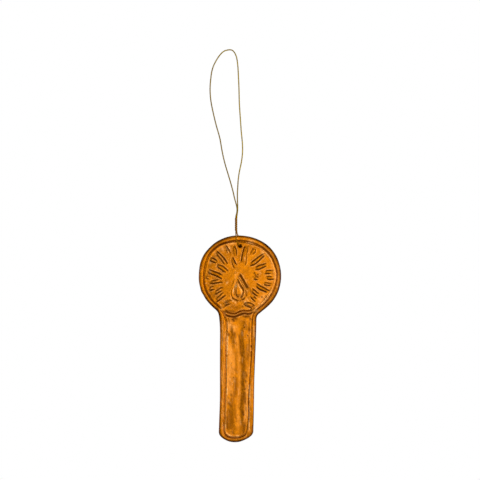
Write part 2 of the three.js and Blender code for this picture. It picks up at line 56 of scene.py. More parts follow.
# ---------------------------------------------------------------- drawn lines
OUTLINE = [
    (-7.76, -126.71), (-9.29, -125.23), (-10.71, -123.66), (-11.99, -121.99), (-13.02, -120.17),
    (-14.1, -118.31), (-14.64, -116.24), (-15.08, -114.18), (-15.28, -112.02), (-15.23, -109.9),
    (-15.08, -107.79), (-14.79, -105.63), (-14.25, -103.52), (-13.41, -101.5), (-12.28, -99.59),
    (-10.91, -97.87), (-9.38, -96.3), (-7.76, -94.87), (-5.95, -93.64), (-3.98, -92.66), (-1.97, -91.87),
    (0.15, -91.33), (2.26, -91.02), (4.47, -90.94), (6.53, -91.07), (8.65, -91.35), (10.71, -91.8),
    (12.72, -92.46), (14.64, -93.32), (16.56, -94.33), (18.32, -95.61), (19.9, -97.08), (21.27, -98.72),
    (22.46, -100.49), (23.41, -102.39), (24.12, -104.4), (24.66, -106.47), (25.02, -108.55), (25.14, -110.64),
    (25.06, -112.74), (24.75, -114.81), (24.27, -116.83), (23.58, -118.8), (22.68, -120.66), (21.57, -122.41),
    (20.27, -124.05), (18.85, -125.5), (17.49, -126.71), (16.16, -127.79), (14.94, -128.8), (13.96, -129.6),
    (13.27, -130.54), (12.99, -131.9), (12.97, -133.68), (12.92, -135.89), (12.82, -139.58), (12.68, -143.51),
    (12.53, -147.19), (12.38, -150.63), (12.21, -155.3), (12.05, -159.23), (11.94, -163.16), (11.88, -167.09),
    (11.83, -171.02), (11.77, -174.95), (11.69, -178.88), (11.6, -182.81), (11.5, -185.76), (11.38, -187.75),
    (10.76, -189.00), (9.22, -190.24), (7.7, -191.07), (6.19, -191.75), (4.72, -192.22), (3.24, -192.44),
    (1.77, -192.44), (0.29, -192.25), (-1.18, -191.8), (-2.65, -191.1), (-4.12, -190.02), (-5.05, -188.98),
    (-5.38, -187.90), (-5.33, -184.78), (-5.21, -180.85), (-5.06, -176.92), (-4.93, -172.99),
    (-4.87, -169.06), (-4.86, -165.13), (-4.87, -161.2), (-4.89, -157.26), (-4.89, -153.34), (-4.87, -149.4),
    (-4.86, -145.47), (-4.84, -141.54), (-4.84, -137.61), (-5, -133.88), (-5.22, -131.57), (-5.48, -129.88),
    (-5.95, -128.56), (-6.73, -127.59),
]
GROOVE = [
    (-5.06, -126.02), (-6.19, -124.99), (-7.57, -123.86), (-8.82, -122.63), (-9.83, -121.38), (-10.66, -120.07), (-11.4, -118.7),
    (-12.02, -117.32), (-12.48, -115.75), (-12.77, -114.03), (-12.87, -112.27), (-12.8, -110.43), (-12.58, -108.45), (-12.22, -106.45),
    (-11.74, -104.42), (-11.13, -102.5), (-10.3, -100.77), (-9.2, -99.15), (-7.74, -97.62), (-6.14, -96.36), (-4.22, -95.33),
    (-2.11, -94.58), (0.05, -94.02), (2.01, -93.72), (3.98, -93.64), (5.31, -93.71), (6.66, -93.89), (8.26, -94.18),
    (9.97, -94.58), (11.8, -95.1), (13.48, -95.68), (14.76, -96.28), (15.92, -96.98), (17.17, -97.97), (18.38, -99.16),
    (19.48, -100.47), (20.32, -101.75), (20.98, -103.08), (21.57, -104.55), (22.11, -106.17), (22.53, -107.79), (22.79, -109.58),
    (22.84, -111.23), (22.65, -113.03), (22.26, -114.84), (21.71, -116.6), (20.98, -118.22), (20.14, -119.66), (19.19, -121.09),
    (18.23, -122.48), (17.2, -123.71), (16.11, -124.72), (14.98, -125.61), (13.82, -126.49), (12.77, -127.36), (11.8, -128.5),
    (11.13, -130.29), (10.76, -132.95), (10.6, -136.38), (10.6, -140.07), (10.59, -143.75), (10.55, -147.69), (10.3, -151.62),
    (9.98, -155.55), (9.68, -159.48), (9.5, -163.41), (9.2, -167.34), (8.98, -171.27), (8.95, -175.2), (9.0, -179.13),
    (8.8, -182.08), (8.45, -184.53), (8.2, -186.5), (7.85, -187.95), (7.0, -189.02), (5.68, -189.69), (4.08, -190.1),
    (2.26, -190.23), (0.43, -190.08), (-1.22, -189.57), (-2.35, -188.66), (-2.92, -187.23), (-3.0, -185.02), (-2.82, -181.58),
    (-2.72, -178.15), (-2.64, -174.71), (-2.5, -170.78), (-2.28, -166.84), (-2.22, -162.91), (-2.2, -158.99), (-2.15, -155.05),
    (-2.06, -151.12), (-1.96, -147.69), (-1.84, -144.25), (-1.8, -140.31), (-1.68, -137.37), (-1.78, -134.42), (-2.26, -131.76),
    (-2.89, -129.62), (-3.8, -127.74),
]
DROP = [
    (3.49, -114.08), (4.27, -115.26), (5.06, -116.44), (5.75, -117.62), (5.99, -118.8), (5.7, -119.88),
    (4.91, -120.61), (3.78, -120.76), (2.9, -120.27), (2.41, -119.19), (2.31, -117.91), (2.6, -116.44),
    (3.1, -115.16),
]
FLAME_RIGHT = [
    (3.78, -109.86), (4.57, -111.13), (5.36, -112.51), (6.09, -113.88), (6.83, -115.26), (7.52, -116.64),
    (7.96, -118.11), (7.86, -119.58), (7.22, -120.96), (6.04, -121.84), (4.67, -122.14),
]
FLAME_LEFT = [
    (2.9, -111.92), (2.21, -113.59), (1.62, -115.26), (1.13, -116.93), (0.93, -118.6), (1.13, -120.17),
    (1.92, -121.45), (3.19, -122.14),
]
LOOP = [
    (3.69, -72.76), (3.69, -69.81), (3.88, -66.87), (4.05, -63.92), (4.42, -60.97), (4.98, -58.02),
    (5.6, -55.08), (6.04, -52.13), (6.22, -49.18), (6.16, -46.23), (5.93, -43.28), (5.62, -40.34),
    (5.4, -37.39), (5.2, -34.44), (4.99, -31.49), (4.8, -28.55), (4.62, -25.6), (4.48, -19.7), (4.38, -16.75),
    (4.24, -13.81), (4.1, -10.86), (3.92, -7.91), (3.6, -5.2), (3.14, -3), (2.28, -1.13), (1.28, -0.03),
    (0.29, 0.27), (-0.69, 0.24), (-1.67, 0.07), (-2.65, -0.29), (-3.64, -0.95), (-4.62, -1.94), (-5.6, -3.2),
    (-6.7, -4.96), (-8.17, -7.91), (-8.99, -10.86), (-9.38, -13.81), (-9.66, -16.75), (-9.74, -19.7),
    (-9.58, -22.65), (-9.22, -25.6), (-8.66, -28.55), (-8.01, -31.49), (-7.32, -34.44), (-6.56, -37.39),
    (-5.7, -40.34), (-4.92, -43.28), (-4.38, -46.23), (-3.89, -49.18), (-3.29, -52.13), (-2.57, -55.08),
    (-1.74, -58.02), (-0.84, -60.97), (0.05, -63.92), (0.88, -66.87), (1.64, -69.81), (2.31, -72.76),
]
EYE = [
    (2.93, -0.74, -89.35), (2.97, -1.3, -90), (3, -1.6, -90.9), (3.04, -1.68, -91.9), (3.16, -1.6, -92.85),
    (3.42, -1.38, -93.75), (3.84, -1.05, -94.6), (4.28, -0.72, -95.2), (4.58, -0.37, -95.57),
    (4.76, 0, -95.66), (4.86, 0.37, -95.57), (4.93, 0.66, -95.1), (4.92, 0.76, -94.4), (4.80, 0.77, -93.5),
    (4.60, 0.75, -92.55), (4.30, 0.71, -91.65), (3.92, 0.63, -90.85), (3.56, 0.48, -90.05),
]
RAYS = [
    ([(-2.21, -96.11), (-1.63, -98.82), (-0.7, -100.57)],
     [(-2.1, -95.66), (-0.87, -97.57), (0.08, -99.43)]),
    ([(1.52, -96.16), (1.42, -97.75), (1.76, -99.34), (2.06, -100.56)],
     [(2.08, -95.82), (2.76, -97.28), (3.14, -98.86), (3.05, -100.51)]),
    ([(1.17, -101.35), (0.83, -102.94), (0.98, -104.51), (1.55, -106.08), (2.22, -106.88)],
     [(1.57, -101.7), (2.06, -103.22), (2.75, -104.55), (3.1, -105.24)]),
    ([(-6.58, -98.6), (-5.26, -99.68), (-3.73, -101.16), (-2.65, -102.39), (-1.87, -103.62), (-1.33, -104.55)],
     [(-6.8, -100.0), (-5.72, -101.22), (-4.5, -102.6), (-3.57, -103.92), (-2.73, -105.0)]),
    ([(-9.46, -101.84), (-8.16, -102.13), (-7.12, -102.8), (-6.45, -103.52)],
     [(-10.1, -103.03), (-9.17, -103.57), (-8.09, -103.96), (-7.01, -104.31)]),
    ([(-6.37, -105.03), (-5.14, -105.48), (-3.92, -105.87), (-2.86, -106.59), (-1.79, -107.47), (-1.01, -108.39)],
     [(-6.55, -105.98), (-5.37, -106.97), (-4.22, -107.71), (-3.14, -108.54), (-2.23, -108.88)]),
    ([(-10.45, -107.64), (-8.93, -108.18), (-7.6, -108.72), (-5.98, -109.26), (-4.61, -109.94), (-3.93, -110.33)],
     [(-10.96, -109.02), (-9.73, -109.56), (-8.48, -110.15), (-7.25, -110.59), (-6.17, -111.04), (-5.23, -111.53), (-4.1, -112.17)]),
    ([(-11.82, -110.46), (-10.48, -110.99), (-9.61, -110.84)],
     [(-12.09, -111.92), (-11.0, -112.17), (-10.2, -112.47)]),
    ([(-9.17, -113.19), (-8.08, -113.05), (-6.99, -112.8), (-5.62, -112.5)],
     [(-10.12, -114.47), (-8.89, -114.57), (-7.56, -114.47), (-6.18, -114.18), (-4.86, -113.98), (-3.88, -113.93)]),
    ([(-10.2, -116.57), (-9.5, -116.23), (-8.63, -115.95), (-8.0, -116.09)],
     [(-10.25, -118.01), (-9.26, -117.81), (-8.47, -117.47), (-7.8, -117.42)]),
    ([(-7.18, -118.24), (-6.09, -117.69), (-5.01, -117.0), (-4.35, -116.62), (-3.69, -116.48)],
     [(-7.66, -119.83), (-6.58, -119.53), (-5.65, -118.99), (-4.86, -118.45), (-4.18, -118.06)]),
    ([(-6.82, -121.82), (-5.88, -121.13), (-4.9, -120.3), (-4.11, -119.61), (-3.57, -119.06)],
     [(-6.92, -123.78), (-5.87, -123.05), (-4.81, -122.36), (-3.82, -121.52), (-3.04, -120.84), (-2.21, -120.3)]),
    ([(11.8, -96.81), (11.11, -97.64), (10.34, -98.7), (10.07, -99.43), (10.12, -100.23)],
     [(11.92, -97.53), (12.43, -97.8), (12.24, -98.97), (11.88, -99.61), (10.92, -99.99)]),
    ([(7.22, -96.16), (6.68, -97.78), (6.29, -99.4), (5.8, -101.32), (5.65, -102.69), (5.35, -103.78)],
     [(8.65, -96.15), (8.65, -97.52), (8.4, -98.85), (8.01, -100.23), (7.91, -101.75), (8.01, -103.22), (7.81, -104.29), (7.27, -105.61)]),
    ([(16.76, -99.76), (15.7, -100.29), (14.49, -101.11), (13.24, -102.0), (12.15, -102.84), (11.08, -103.62), (10.3, -104.3)],
     [(16.98, -100.8), (15.9, -101.74), (14.82, -102.81), (13.95, -103.62), (13.12, -104.3), (12.04, -105.09), (10.97, -105.53), (9.73, -105.68)]),
    ([(17.79, -104.54), (16.71, -104.98), (15.6, -105.28), (14.53, -105.57), (13.45, -106.06), (12.6, -106.36)],
     [(17.84, -105.84), (16.91, -106.28), (16.07, -106.72), (15.31, -107.11), (14.33, -107.5), (13.27, -107.64), (12.33, -107.55)]),
    ([(20.73, -108.14), (18.57, -108.13), (17.5, -108.38)],
     [(20.05, -109.41), (19.11, -109.56), (17.05, -109.56)]),
    ([(17.74, -111.18), (18.82, -111.03), (20.59, -111.18)],
     [(18.13, -112.11), (18.96, -112.51), (19.75, -112.56), (21.52, -112.36)]),
    ([(12.5, -110.62), (13.33, -111.16), (14.14, -111.66)],
     [(11.53, -112.17), (12.59, -112.56), (13.66, -112.56)]),
    ([(16.8, -113.98), (18.02, -114.03), (18.79, -114.22), (19.88, -114.52), (20.57, -114.62)],
     [(16.51, -114.96), (17.34, -115.21), (18.28, -115.5), (19.36, -115.5), (20.05, -115.36)]),
    ([(13.0, -114.57), (13.93, -115.01), (15.01, -115.79), (16.24, -116.33), (17.34, -116.98), (18.42, -117.67), (19.5, -118.06)],
     [(12.97, -116.08), (13.9, -116.86), (14.86, -117.54), (15.9, -117.97), (16.97, -118.41), (18.05, -118.85)]),
    ([(10.92, -116.87), (11.76, -117.56), (12.54, -118.1), (13.09, -118.78), (14.17, -119.48)],
     [(10.79, -118.4), (11.32, -119.22), (12.0, -119.75), (12.78, -120.29), (13.46, -120.68)]),
    ([(11.61, -120.68), (12.31, -121.48), (12.96, -122.03)],
     [(9.99, -120.96), (10.68, -121.75), (11.39, -122.54), (12.15, -123.21), (12.56, -123.38)]),
]
# the same place round the piece on both lines, as indices of points
TIES = [
    (0, 0), (12, 14), (23, 24), (38, 42), (50, 55), (54, 58),
    (66, 70), (69, 73), (75, 77), (80, 81), (90, 91), (96, 97),
]
ARC_LEFT = [(-3.10, -125.18), (-1.97, -124.50), (-0.74, -124.05), (0.54, -123.91), (1.62, -124.05)]
ARC_RIGHT = [(7.03, -124.40), (8.21, -124.50), (9.38, -124.89), (10.46, -125.58), (11.45, -126.46)]
BAND = [
    (-3.19, -127.54), (-2.21, -128.82), (-0.83, -129.60), (0.83, -129.95), (2.51, -129.90),
    (3.98, -129.31), (5.26, -128.67), (6.93, -128.57), (8.70, -128.67), (10.17, -128.43), (11.55, -127.84),
]
RIGHT_JOIN = [(3.42, -0.02, -81.30), (3.66, -0.18, -80.00), (3.80, -0.26, -78.20), (3.82, -0.25, -76.60), (3.74, -0.12, -74.70)]
LEFT_JOIN = [(2.86, 0.14, -74.70), (3.34, 0.28, -76.60), (3.52, 0.30, -78.20), (3.36, 0.36, -79.90), (3.00, 0.38, -81.30)]

# lines pressed with a tracing tool: (line, depth, width, how dark the line is painted: lacquer pooled in it together
# with painted shade)
PRESSED = [
    ([(3.52, -112.46), (4.07, -113.40), (4.71, -114.77), (5.09, -115.45), (5.78, -116.38), (6.33, -117.24),
      (6.58, -118.45), (6.33, -119.56), (5.89, -120.64), (5.04, -121.22)], 0.20, 0.31, 0.64),
    ([(4.48, -109.99), (5.27, -110.82), (6.05, -112.29), (6.74, -113.37), (7.42, -114.69), (7.97, -115.63),
      (8.35, -116.20), (8.75, -116.90)], 0.24, 0.38, 0.78),
    ([(7.62, -117.70), (7.75, -118.80), (7.98, -120.30)], 0.08, 0.24, 0.50),
    ([(2.95, -117.13), (2.80, -118.99), (3.00, -120.37), (3.54, -121.06), (4.62, -121.18)], 0.10, 0.26, 0.52),
    ([(1.27, -116.22), (0.74, -117.93), (0.44, -119.48), (0.78, -120.89)], 0.06, 0.22, 0.05),
    ([(0.78, -120.89), (1.41, -121.81), (2.48, -122.34), (3.31, -122.78), (3.85, -123.03)], 0.18, 0.25, 0.51),
    ([(5.31, -122.43), (6.11, -122.43), (6.96, -121.88), (7.51, -121.18)], 0.12, 0.25, 0.66),
    ([(-3.29, -124.20), (-2.51, -123.66), (-1.52, -123.22), (-0.74, -122.92), (0.15, -122.78), (0.93, -122.92)], 0.13, 0.22, 0.05),
    ([(-2.78, -125.82), (-2.11, -125.38), (-1.33, -124.99), (-0.39, -124.69), (0.05, -124.64)], 0.15, 0.25, 0.67),
    ([(6.58, -124.40), (8.65, -123.91), (10.61, -124.40), (12.23, -125.67)], 0.15, 0.22, 0.59),
    ([(6.39, -124.54), (7.71, -125.33), (8.99, -125.92), (9.97, -126.31), (10.71, -127.10)], 0.16, 0.22, 0.81),
    ([(-2.41, -127.54), (-1.33, -128.38), (-0.25, -128.92), (1.13, -129.21), (2.48, -129.26), (3.75, -128.75),
      (4.68, -128.21), (5.33, -127.98), (6.59, -127.84), (7.91, -127.79), (9.19, -127.84), (10.42, -127.39),
      (10.71, -127.15)], 0.17, 0.24, 0.52),
    ([(-2.74, -129.38), (-2.06, -129.91), (-1.00, -130.45), (0.30, -130.74), (1.67, -130.88), (3.01, -130.68),
      (4.26, -130.19), (5.34, -129.79), (6.26, -129.41), (7.46, -129.26), (8.55, -129.51), (9.88, -129.31),
      (10.84, -128.87), (11.77, -128.33)], 0.19, 0.27, 0.78),
]
# how deep the two lines of each ray were pressed (which also sets how dark they are painted, as pooled lacquer with
# painted shade), and how dark the strip between them is painted as shade (or, below 0, how bright it is painted as
# highlight)
RAY_DEPTHS = [
    (0.10, 0.79, -0.90), (0.38, 0.87, 0.14), (0.58, 1.16, 0.20), (1.00, 0.78, -0.38), (1.07, 1.06, -0.37), (0.69, 0.91, 0.00),
    (0.98, 1.09, 0.12), (0.18, 0.52, -0.49), (0.66, 0.92, -0.22), (0.54, 0.90, -0.84), (0.70, 0.85, -0.62), (0.70, 0.90, -0.18),
    (0.29, 0.53, 0.11), (1.14, 0.49, 0.27), (0.84, 0.90, 0.12), (0.84, 0.78, 0.11), (0.85, 1.08, -0.03), (0.76, 0.80, 0.14),
    (0.49, 0.91, -0.27), (0.50, 0.74, -0.29), (0.83, 1.25, 0.20), (0.82, 0.94, -0.14), (0.92, 0.96, -0.12),
]
# round the piece in 18 equal steps along the cut edge, from the neck up the left side of the glow:
# how dark the edge is painted as shade, how strongly the line inside the border is pressed and how dark it is painted
# (pooled lacquer with painted shade), and how strongly the shoulder inside it is painted as rubbed lacquer with painted
# highlight
EDGE_SHADE = [
    1.6, 0.0, 0.9, 0.8, 0.6, 1.6, 1.4, 1.6, 1.4, 1.2, 0.5, 0.2, 1.2, 1.6, 0.0, 0.0, 0.0, 0.0,
]
LINE_DARK = [
    0.4, 0.7, 0.0, 1.1, 0.0, 0.6, 0.0, 0.0, 0.0, 0.0, 0.0, 0.4, 0.0, 0.6, 0.0, 0.0, 0.1, 0.0,
]
RUBBED_AND_HIGHLIGHT = [
    0.0, 0.0, 0.0, 0.0, 0.0, 1.1, 0.0, 1.1, 0.0, 0.2, 0.0, 0.6, 0.0, 0.4, 0.5, 0.8, 0.5, 0.1,
]
# small round dents
DIMPLES = [
    (15.67, -121.20, 0.44), (17.74, -121.06, 0.44), (16.80, -122.33, 0.44), (-3.19, -124.30, 0.34),
    (8.11, -120.22, 0.39), (13.61, -110.15, 0.39), (12.13, -109.36, 0.39),
    (0.69, -153.81, 0.30), (0.79, -155.77, 0.28), (-0.44, -149.53, 0.26), (2.75, -151.60, 0.26),
    (1.77, -160.70, 0.34), (1.28, -163.74, 0.28), (0.54, -167.33, 0.26), (0.79, -171.00, 0.26),
    (8.20, -159.70, 0.40), (6.93, -135.90, 0.40), (8.65, -140.10, 0.42),
]


# long soft swells and hollows of the candle's panel: (line, half width, height)
SWELLS = [
    ([(4.13, -131.47), (4.57, -136.38), (4.77, -141.30), (5.06, -147.19), (5.36, -153.09), (5.36, -160.95), (5.26, -165.86), (4.86, -171.76), (5.06, -177.65), (5.16, -183.55), (4.86, -188.46)], 2.00, -0.11),
    ([(-1.13, -130.49), (0.29, -133.44), (1.82, -137.37), (2.51, -141.30), (2.70, -145.23)], 1.15, 0.15),
    ([(-1.42, -141.30), (-1.23, -148.18), (-1.13, -158.00), (-0.93, -167.83), (0.05, -172.25), (1.82, -175.69), (2.51, -180.60), (2.70, -186.99)], 1.30, 0.17),
    ([(6.73, -135.40), (7.12, -142.28), (7.71, -150.14), (7.62, -156.04), (7.22, -163.90), (7.32, -168.81), (6.83, -173.72), (6.63, -178.64), (7.12, -184.53)], 1.15, 0.15),
    ([(1.77, -147.19), (2.26, -153.09), (1.92, -159.97)], 1.00, -0.06),
]
# where the lacquer is rubbed thin, together with painted highlights on slopes that face the light: (line, half width,
# how much)
WORN_AND_HIGHLIGHT = [
    ([(13.61, -128.03), (14.49, -129.31)], 0.90, 0.6),
    ([(-3.98, -123.02), (-2.41, -123.22), (-0.93, -123.12)], 0.50, 0.4),
    ([(-7.52, -98.75), (-6.83, -101.31)], 0.50, 0.4),
    ([(11.94, -94.43), (11.05, -96.10)], 0.50, 0.8),
    ([(2.70, -113.54), (2.51, -115.75)], 0.40, 0.4),
    ([(-3.68, -132.45), (-3.64, -138.35), (-3.59, -145.23)], 0.26, 0.7),
    ([(-2.16, -136.38), (-2.21, -141.30), (-2.26, -145.72)], 0.28, 0.3),
    ([(-2.11, -182.57), (-2.16, -186.01)], 0.24, 1.2),
    ([(-1.28, -138.84), (-1.23, -142.77), (-1.28, -147.19)], 0.30, 1.2),
    ([(-1.62, -150.14), (-1.67, -153.09), (-1.47, -157.51)], 0.26, 1.2),
    ([(-2.26, -153.58), (-2.21, -158.00)], 0.22, 0.3),
    ([(-0.20, -145.23), (0.29, -150.14), (0.05, -155.05), (-0.44, -160.95), (-0.44, -167.83)], 1.40, 0.3),
    ([(1.52, -148.18), (1.77, -154.07), (1.28, -158.98)], 1.10, 0.2),
    ([(3.64, -140.32), (3.73, -145.23), (4.47, -154.07), (4.77, -163.90), (3.98, -171.76), (3.78, -178.64), (3.98, -186.50)], 0.80, 0.1),
    ([(8.70, -155.05), (8.50, -160.95), (8.01, -167.83), (7.62, -175.69), (7.62, -181.58)], 0.60, 0.1),
    ([(8.50, -138.84), (8.89, -142.28)], 0.36, 0.2),
    ([(9.38, -144.25), (9.19, -147.19)], 0.25, 0.3),
    ([(9.33, -163.90), (9.38, -169.79), (9.48, -172.74)], 0.24, 1.2),
    ([(10.96, -160.95), (10.86, -171.76)], 0.30, 0.2),
    ([(9.38, -173.72), (9.43, -185.51)], 0.26, 1.2),
    ([(-1.42, -188.07), (-0.44, -188.95), (0.79, -189.45)], 0.34, 1.2),
    ([(6.14, -150.63), (6.09, -153.58)], 0.20, 1.1),
    # the glow
    ([(-2.16, -95.36), (0.05, -94.92), (2.75, -94.62)], 0.75, 0.5),
    ([(-0.69, -96.10), (0.29, -98.31)], 0.55, 1.0),
    ([(2.80, -108.14), (2.75, -110.84), (2.65, -113.05)], 0.34, 0.3),
    ([(-1.62, -114.57), (-1.03, -113.69)], 0.45, 1.2),
    ([(3.29, -114.28), (2.51, -116.00), (1.82, -117.72), (1.62, -119.48)], 0.28, 1.2),
    ([(3.68, -114.37), (4.57, -115.85), (5.45, -117.52), (5.94, -118.99), (5.55, -120.47), (4.67, -121.15)], 0.42, 0.8),
    ([(0.25, -120.66), (0.54, -121.89), (1.52, -122.92), (2.60, -123.51)], 0.28, 0.9),
    ([(2.60, -123.37), (3.00, -124.35)], 0.40, 0.9),
    ([(8.50, -121.94), (8.89, -122.92)], 0.45, 1.2),
    ([(6.93, -123.51), (7.71, -123.91)], 0.40, 1.2),
    ([(13.61, -108.77), (15.08, -109.36), (14.30, -110.35)], 0.36, 0.5),
    ([(7.22, -101.31), (7.32, -103.17)], 0.30, 1.1),
    ([(14.30, -123.61), (15.77, -121.65), (17.74, -120.17)], 1.10, 0.4),
    ([(20.19, -103.96), (21.42, -106.91), (22.06, -110.84), (21.67, -114.77)], 0.70, 0.4),
    ([(8.65, -93.25), (10.86, -93.45), (12.33, -93.84)], 0.34, 0.7),
    ([(-4.27, -125.28), (-3.98, -127.05)], 0.45, 0.5),
    ([(12.63, -126.07), (13.12, -128.03)], 0.50, 1.1),
    ([(7.42, -124.79), (8.11, -124.94), (8.70, -125.08)], 0.24, 1.2),
    ([(9.48, -126.80), (10.07, -127.00)], 0.30, 1.2),
    ([(-4.77, -125.23), (-4.37, -124.84)], 0.36, 1.2),
    ([(-4.27, -126.61), (-3.88, -127.00)], 0.36, 1.1),
    ([(8.40, -117.96), (8.60, -118.40)], 0.34, 1.1),
    ([(0.05, -131.96), (0.54, -134.42), (1.77, -136.88), (3.00, -138.35)], 1.10, 0.2),
    ([(9.78, -137.37), (9.68, -140.81)], 0.24, 0.2),
    ([(8.70, -144.25), (8.55, -148.18)], 0.24, 0.4),
    ([(-6.09, -98.55), (-4.13, -96.59), (-1.92, -95.51)], 0.95, 0.2),
    ([(-9.78, -104.94), (-9.38, -103.37)], 0.60, 0.9),
    ([(-6.73, -105.33), (-6.04, -107.01)], 0.50, 0.9),
    ([(8.40, -94.43), (10.12, -94.53), (11.84, -94.92)], 0.70, 1.0),
    ([(22.45, -106.91), (22.85, -109.36), (22.75, -112.80)], 0.45, 0.7),
    ([(20.93, -117.72), (19.21, -120.66), (16.51, -123.91), (13.81, -126.56)], 0.80, 0.6),
    ([(3.29, -114.87), (2.90, -116.93)], 0.45, 1.2),
    ([(23.44, -104.94), (23.83, -108.87), (23.73, -112.80), (23.24, -116.24)], 0.55, 0.2),
    ([(-1.13, -139.82), (-1.23, -144.74), (-1.33, -150.14)], 0.30, 1.2),
    ([(-1.13, -132.95), (-0.93, -137.86)], 0.45, 0.8),
    ([(-0.20, -133.44), (0.54, -135.65), (3.00, -135.89)], 0.80, 0.6),
    ([(0.54, -146.21), (0.54, -150.14)], 0.70, 0.4),
    ([(-1.52, -165.37), (-1.33, -169.30)], 0.45, 1.1),
    ([(9.68, -155.05), (9.88, -161.93)], 0.40, 0.4),
    ([(9.78, -163.90), (9.68, -171.76)], 0.35, 1.1),
    ([(8.11, -164.88), (8.20, -169.79)], 0.35, 0.5),
    ([(7.71, -173.72), (7.62, -180.60)], 0.45, 0.5),
    ([(-2.31, -183.55), (-2.26, -186.01)], 0.25, 1.2),
    ([(-1.92, -187.73), (0.05, -189.45), (2.51, -190.03), (4.96, -189.74)], 0.35, 0.8),
    ([(-4.13, -96.59), (-3.14, -98.55)], 0.75, 0.8),
    ([(-8.01, -100.52), (-6.83, -99.54)], 0.60, 0.1),
    ([(15.53, -98.31), (16.51, -100.77)], 0.70, 0.9),
    ([(-10.07, -107.64), (-9.68, -109.85)], 0.55, 1.0),
    ([(-2.41, -124.00), (-1.23, -124.30)], 0.35, 1.2),
    ([(12.92, -127.34), (13.81, -128.82)], 0.60, 1.2),
    ([(23.34, -114.52), (23.44, -116.98)], 0.50, 0.9),
    ([(19.46, -120.17), (17.74, -122.63)], 0.60, 0.8),
    ([(-0.44, -155.30), (1.77, -156.28)], 0.70, 0.4),
    ([(-0.93, -171.27), (-0.20, -173.72)], 0.60, 0.6),
    ([(-3.19, -177.16), (-3.10, -180.60)], 0.40, 0.6),
    ([(-3.59, -183.06), (-2.90, -186.99)], 0.45, 0.7),
    ([(-1.67, -187.97), (-0.20, -189.45)], 0.45, 0.9),
    ([(9.09, -185.02), (9.68, -186.99)], 0.45, 0.9),
    ([(3.00, -189.45), (4.72, -189.74)], 0.55, 1.2),
    ([(9.88, -171.76), (10.07, -174.71)], 0.40, 0.5),
    ([(-1.47, -140.81), (-1.42, -145.23), (-1.52, -149.65)], 0.55, 0.9),
    ([(5.94, -137.86), (6.24, -140.32)], 0.45, 1.0),
    ([(12.09, -135.40), (12.14, -141.30)], 0.40, 1.0),
    ([(-3.88, -157.02), (-3.78, -164.88)], 0.40, 0.4),
    ([(-3.98, -173.72), (-3.88, -170.78)], 0.35, 0.4),
    ([(1.82, -160.95), (2.51, -163.41)], 0.50, 0.6),
    ([(6.44, -158.00), (7.22, -160.46)], 0.60, 0.5),
    ([(5.26, -181.58), (5.36, -184.04)], 0.50, 0.7),
    ([(7.62, -122.87), (8.01, -124.84)], 0.40, 1.2),
    ([(-2.90, -128.52), (-1.92, -129.75)], 0.45, 1.1),
    ([(-10.02, -122.87), (-9.04, -124.10)], 0.40, 0.2),
    ([(14.05, -124.10), (15.28, -125.58)], 0.45, 1.0),
]
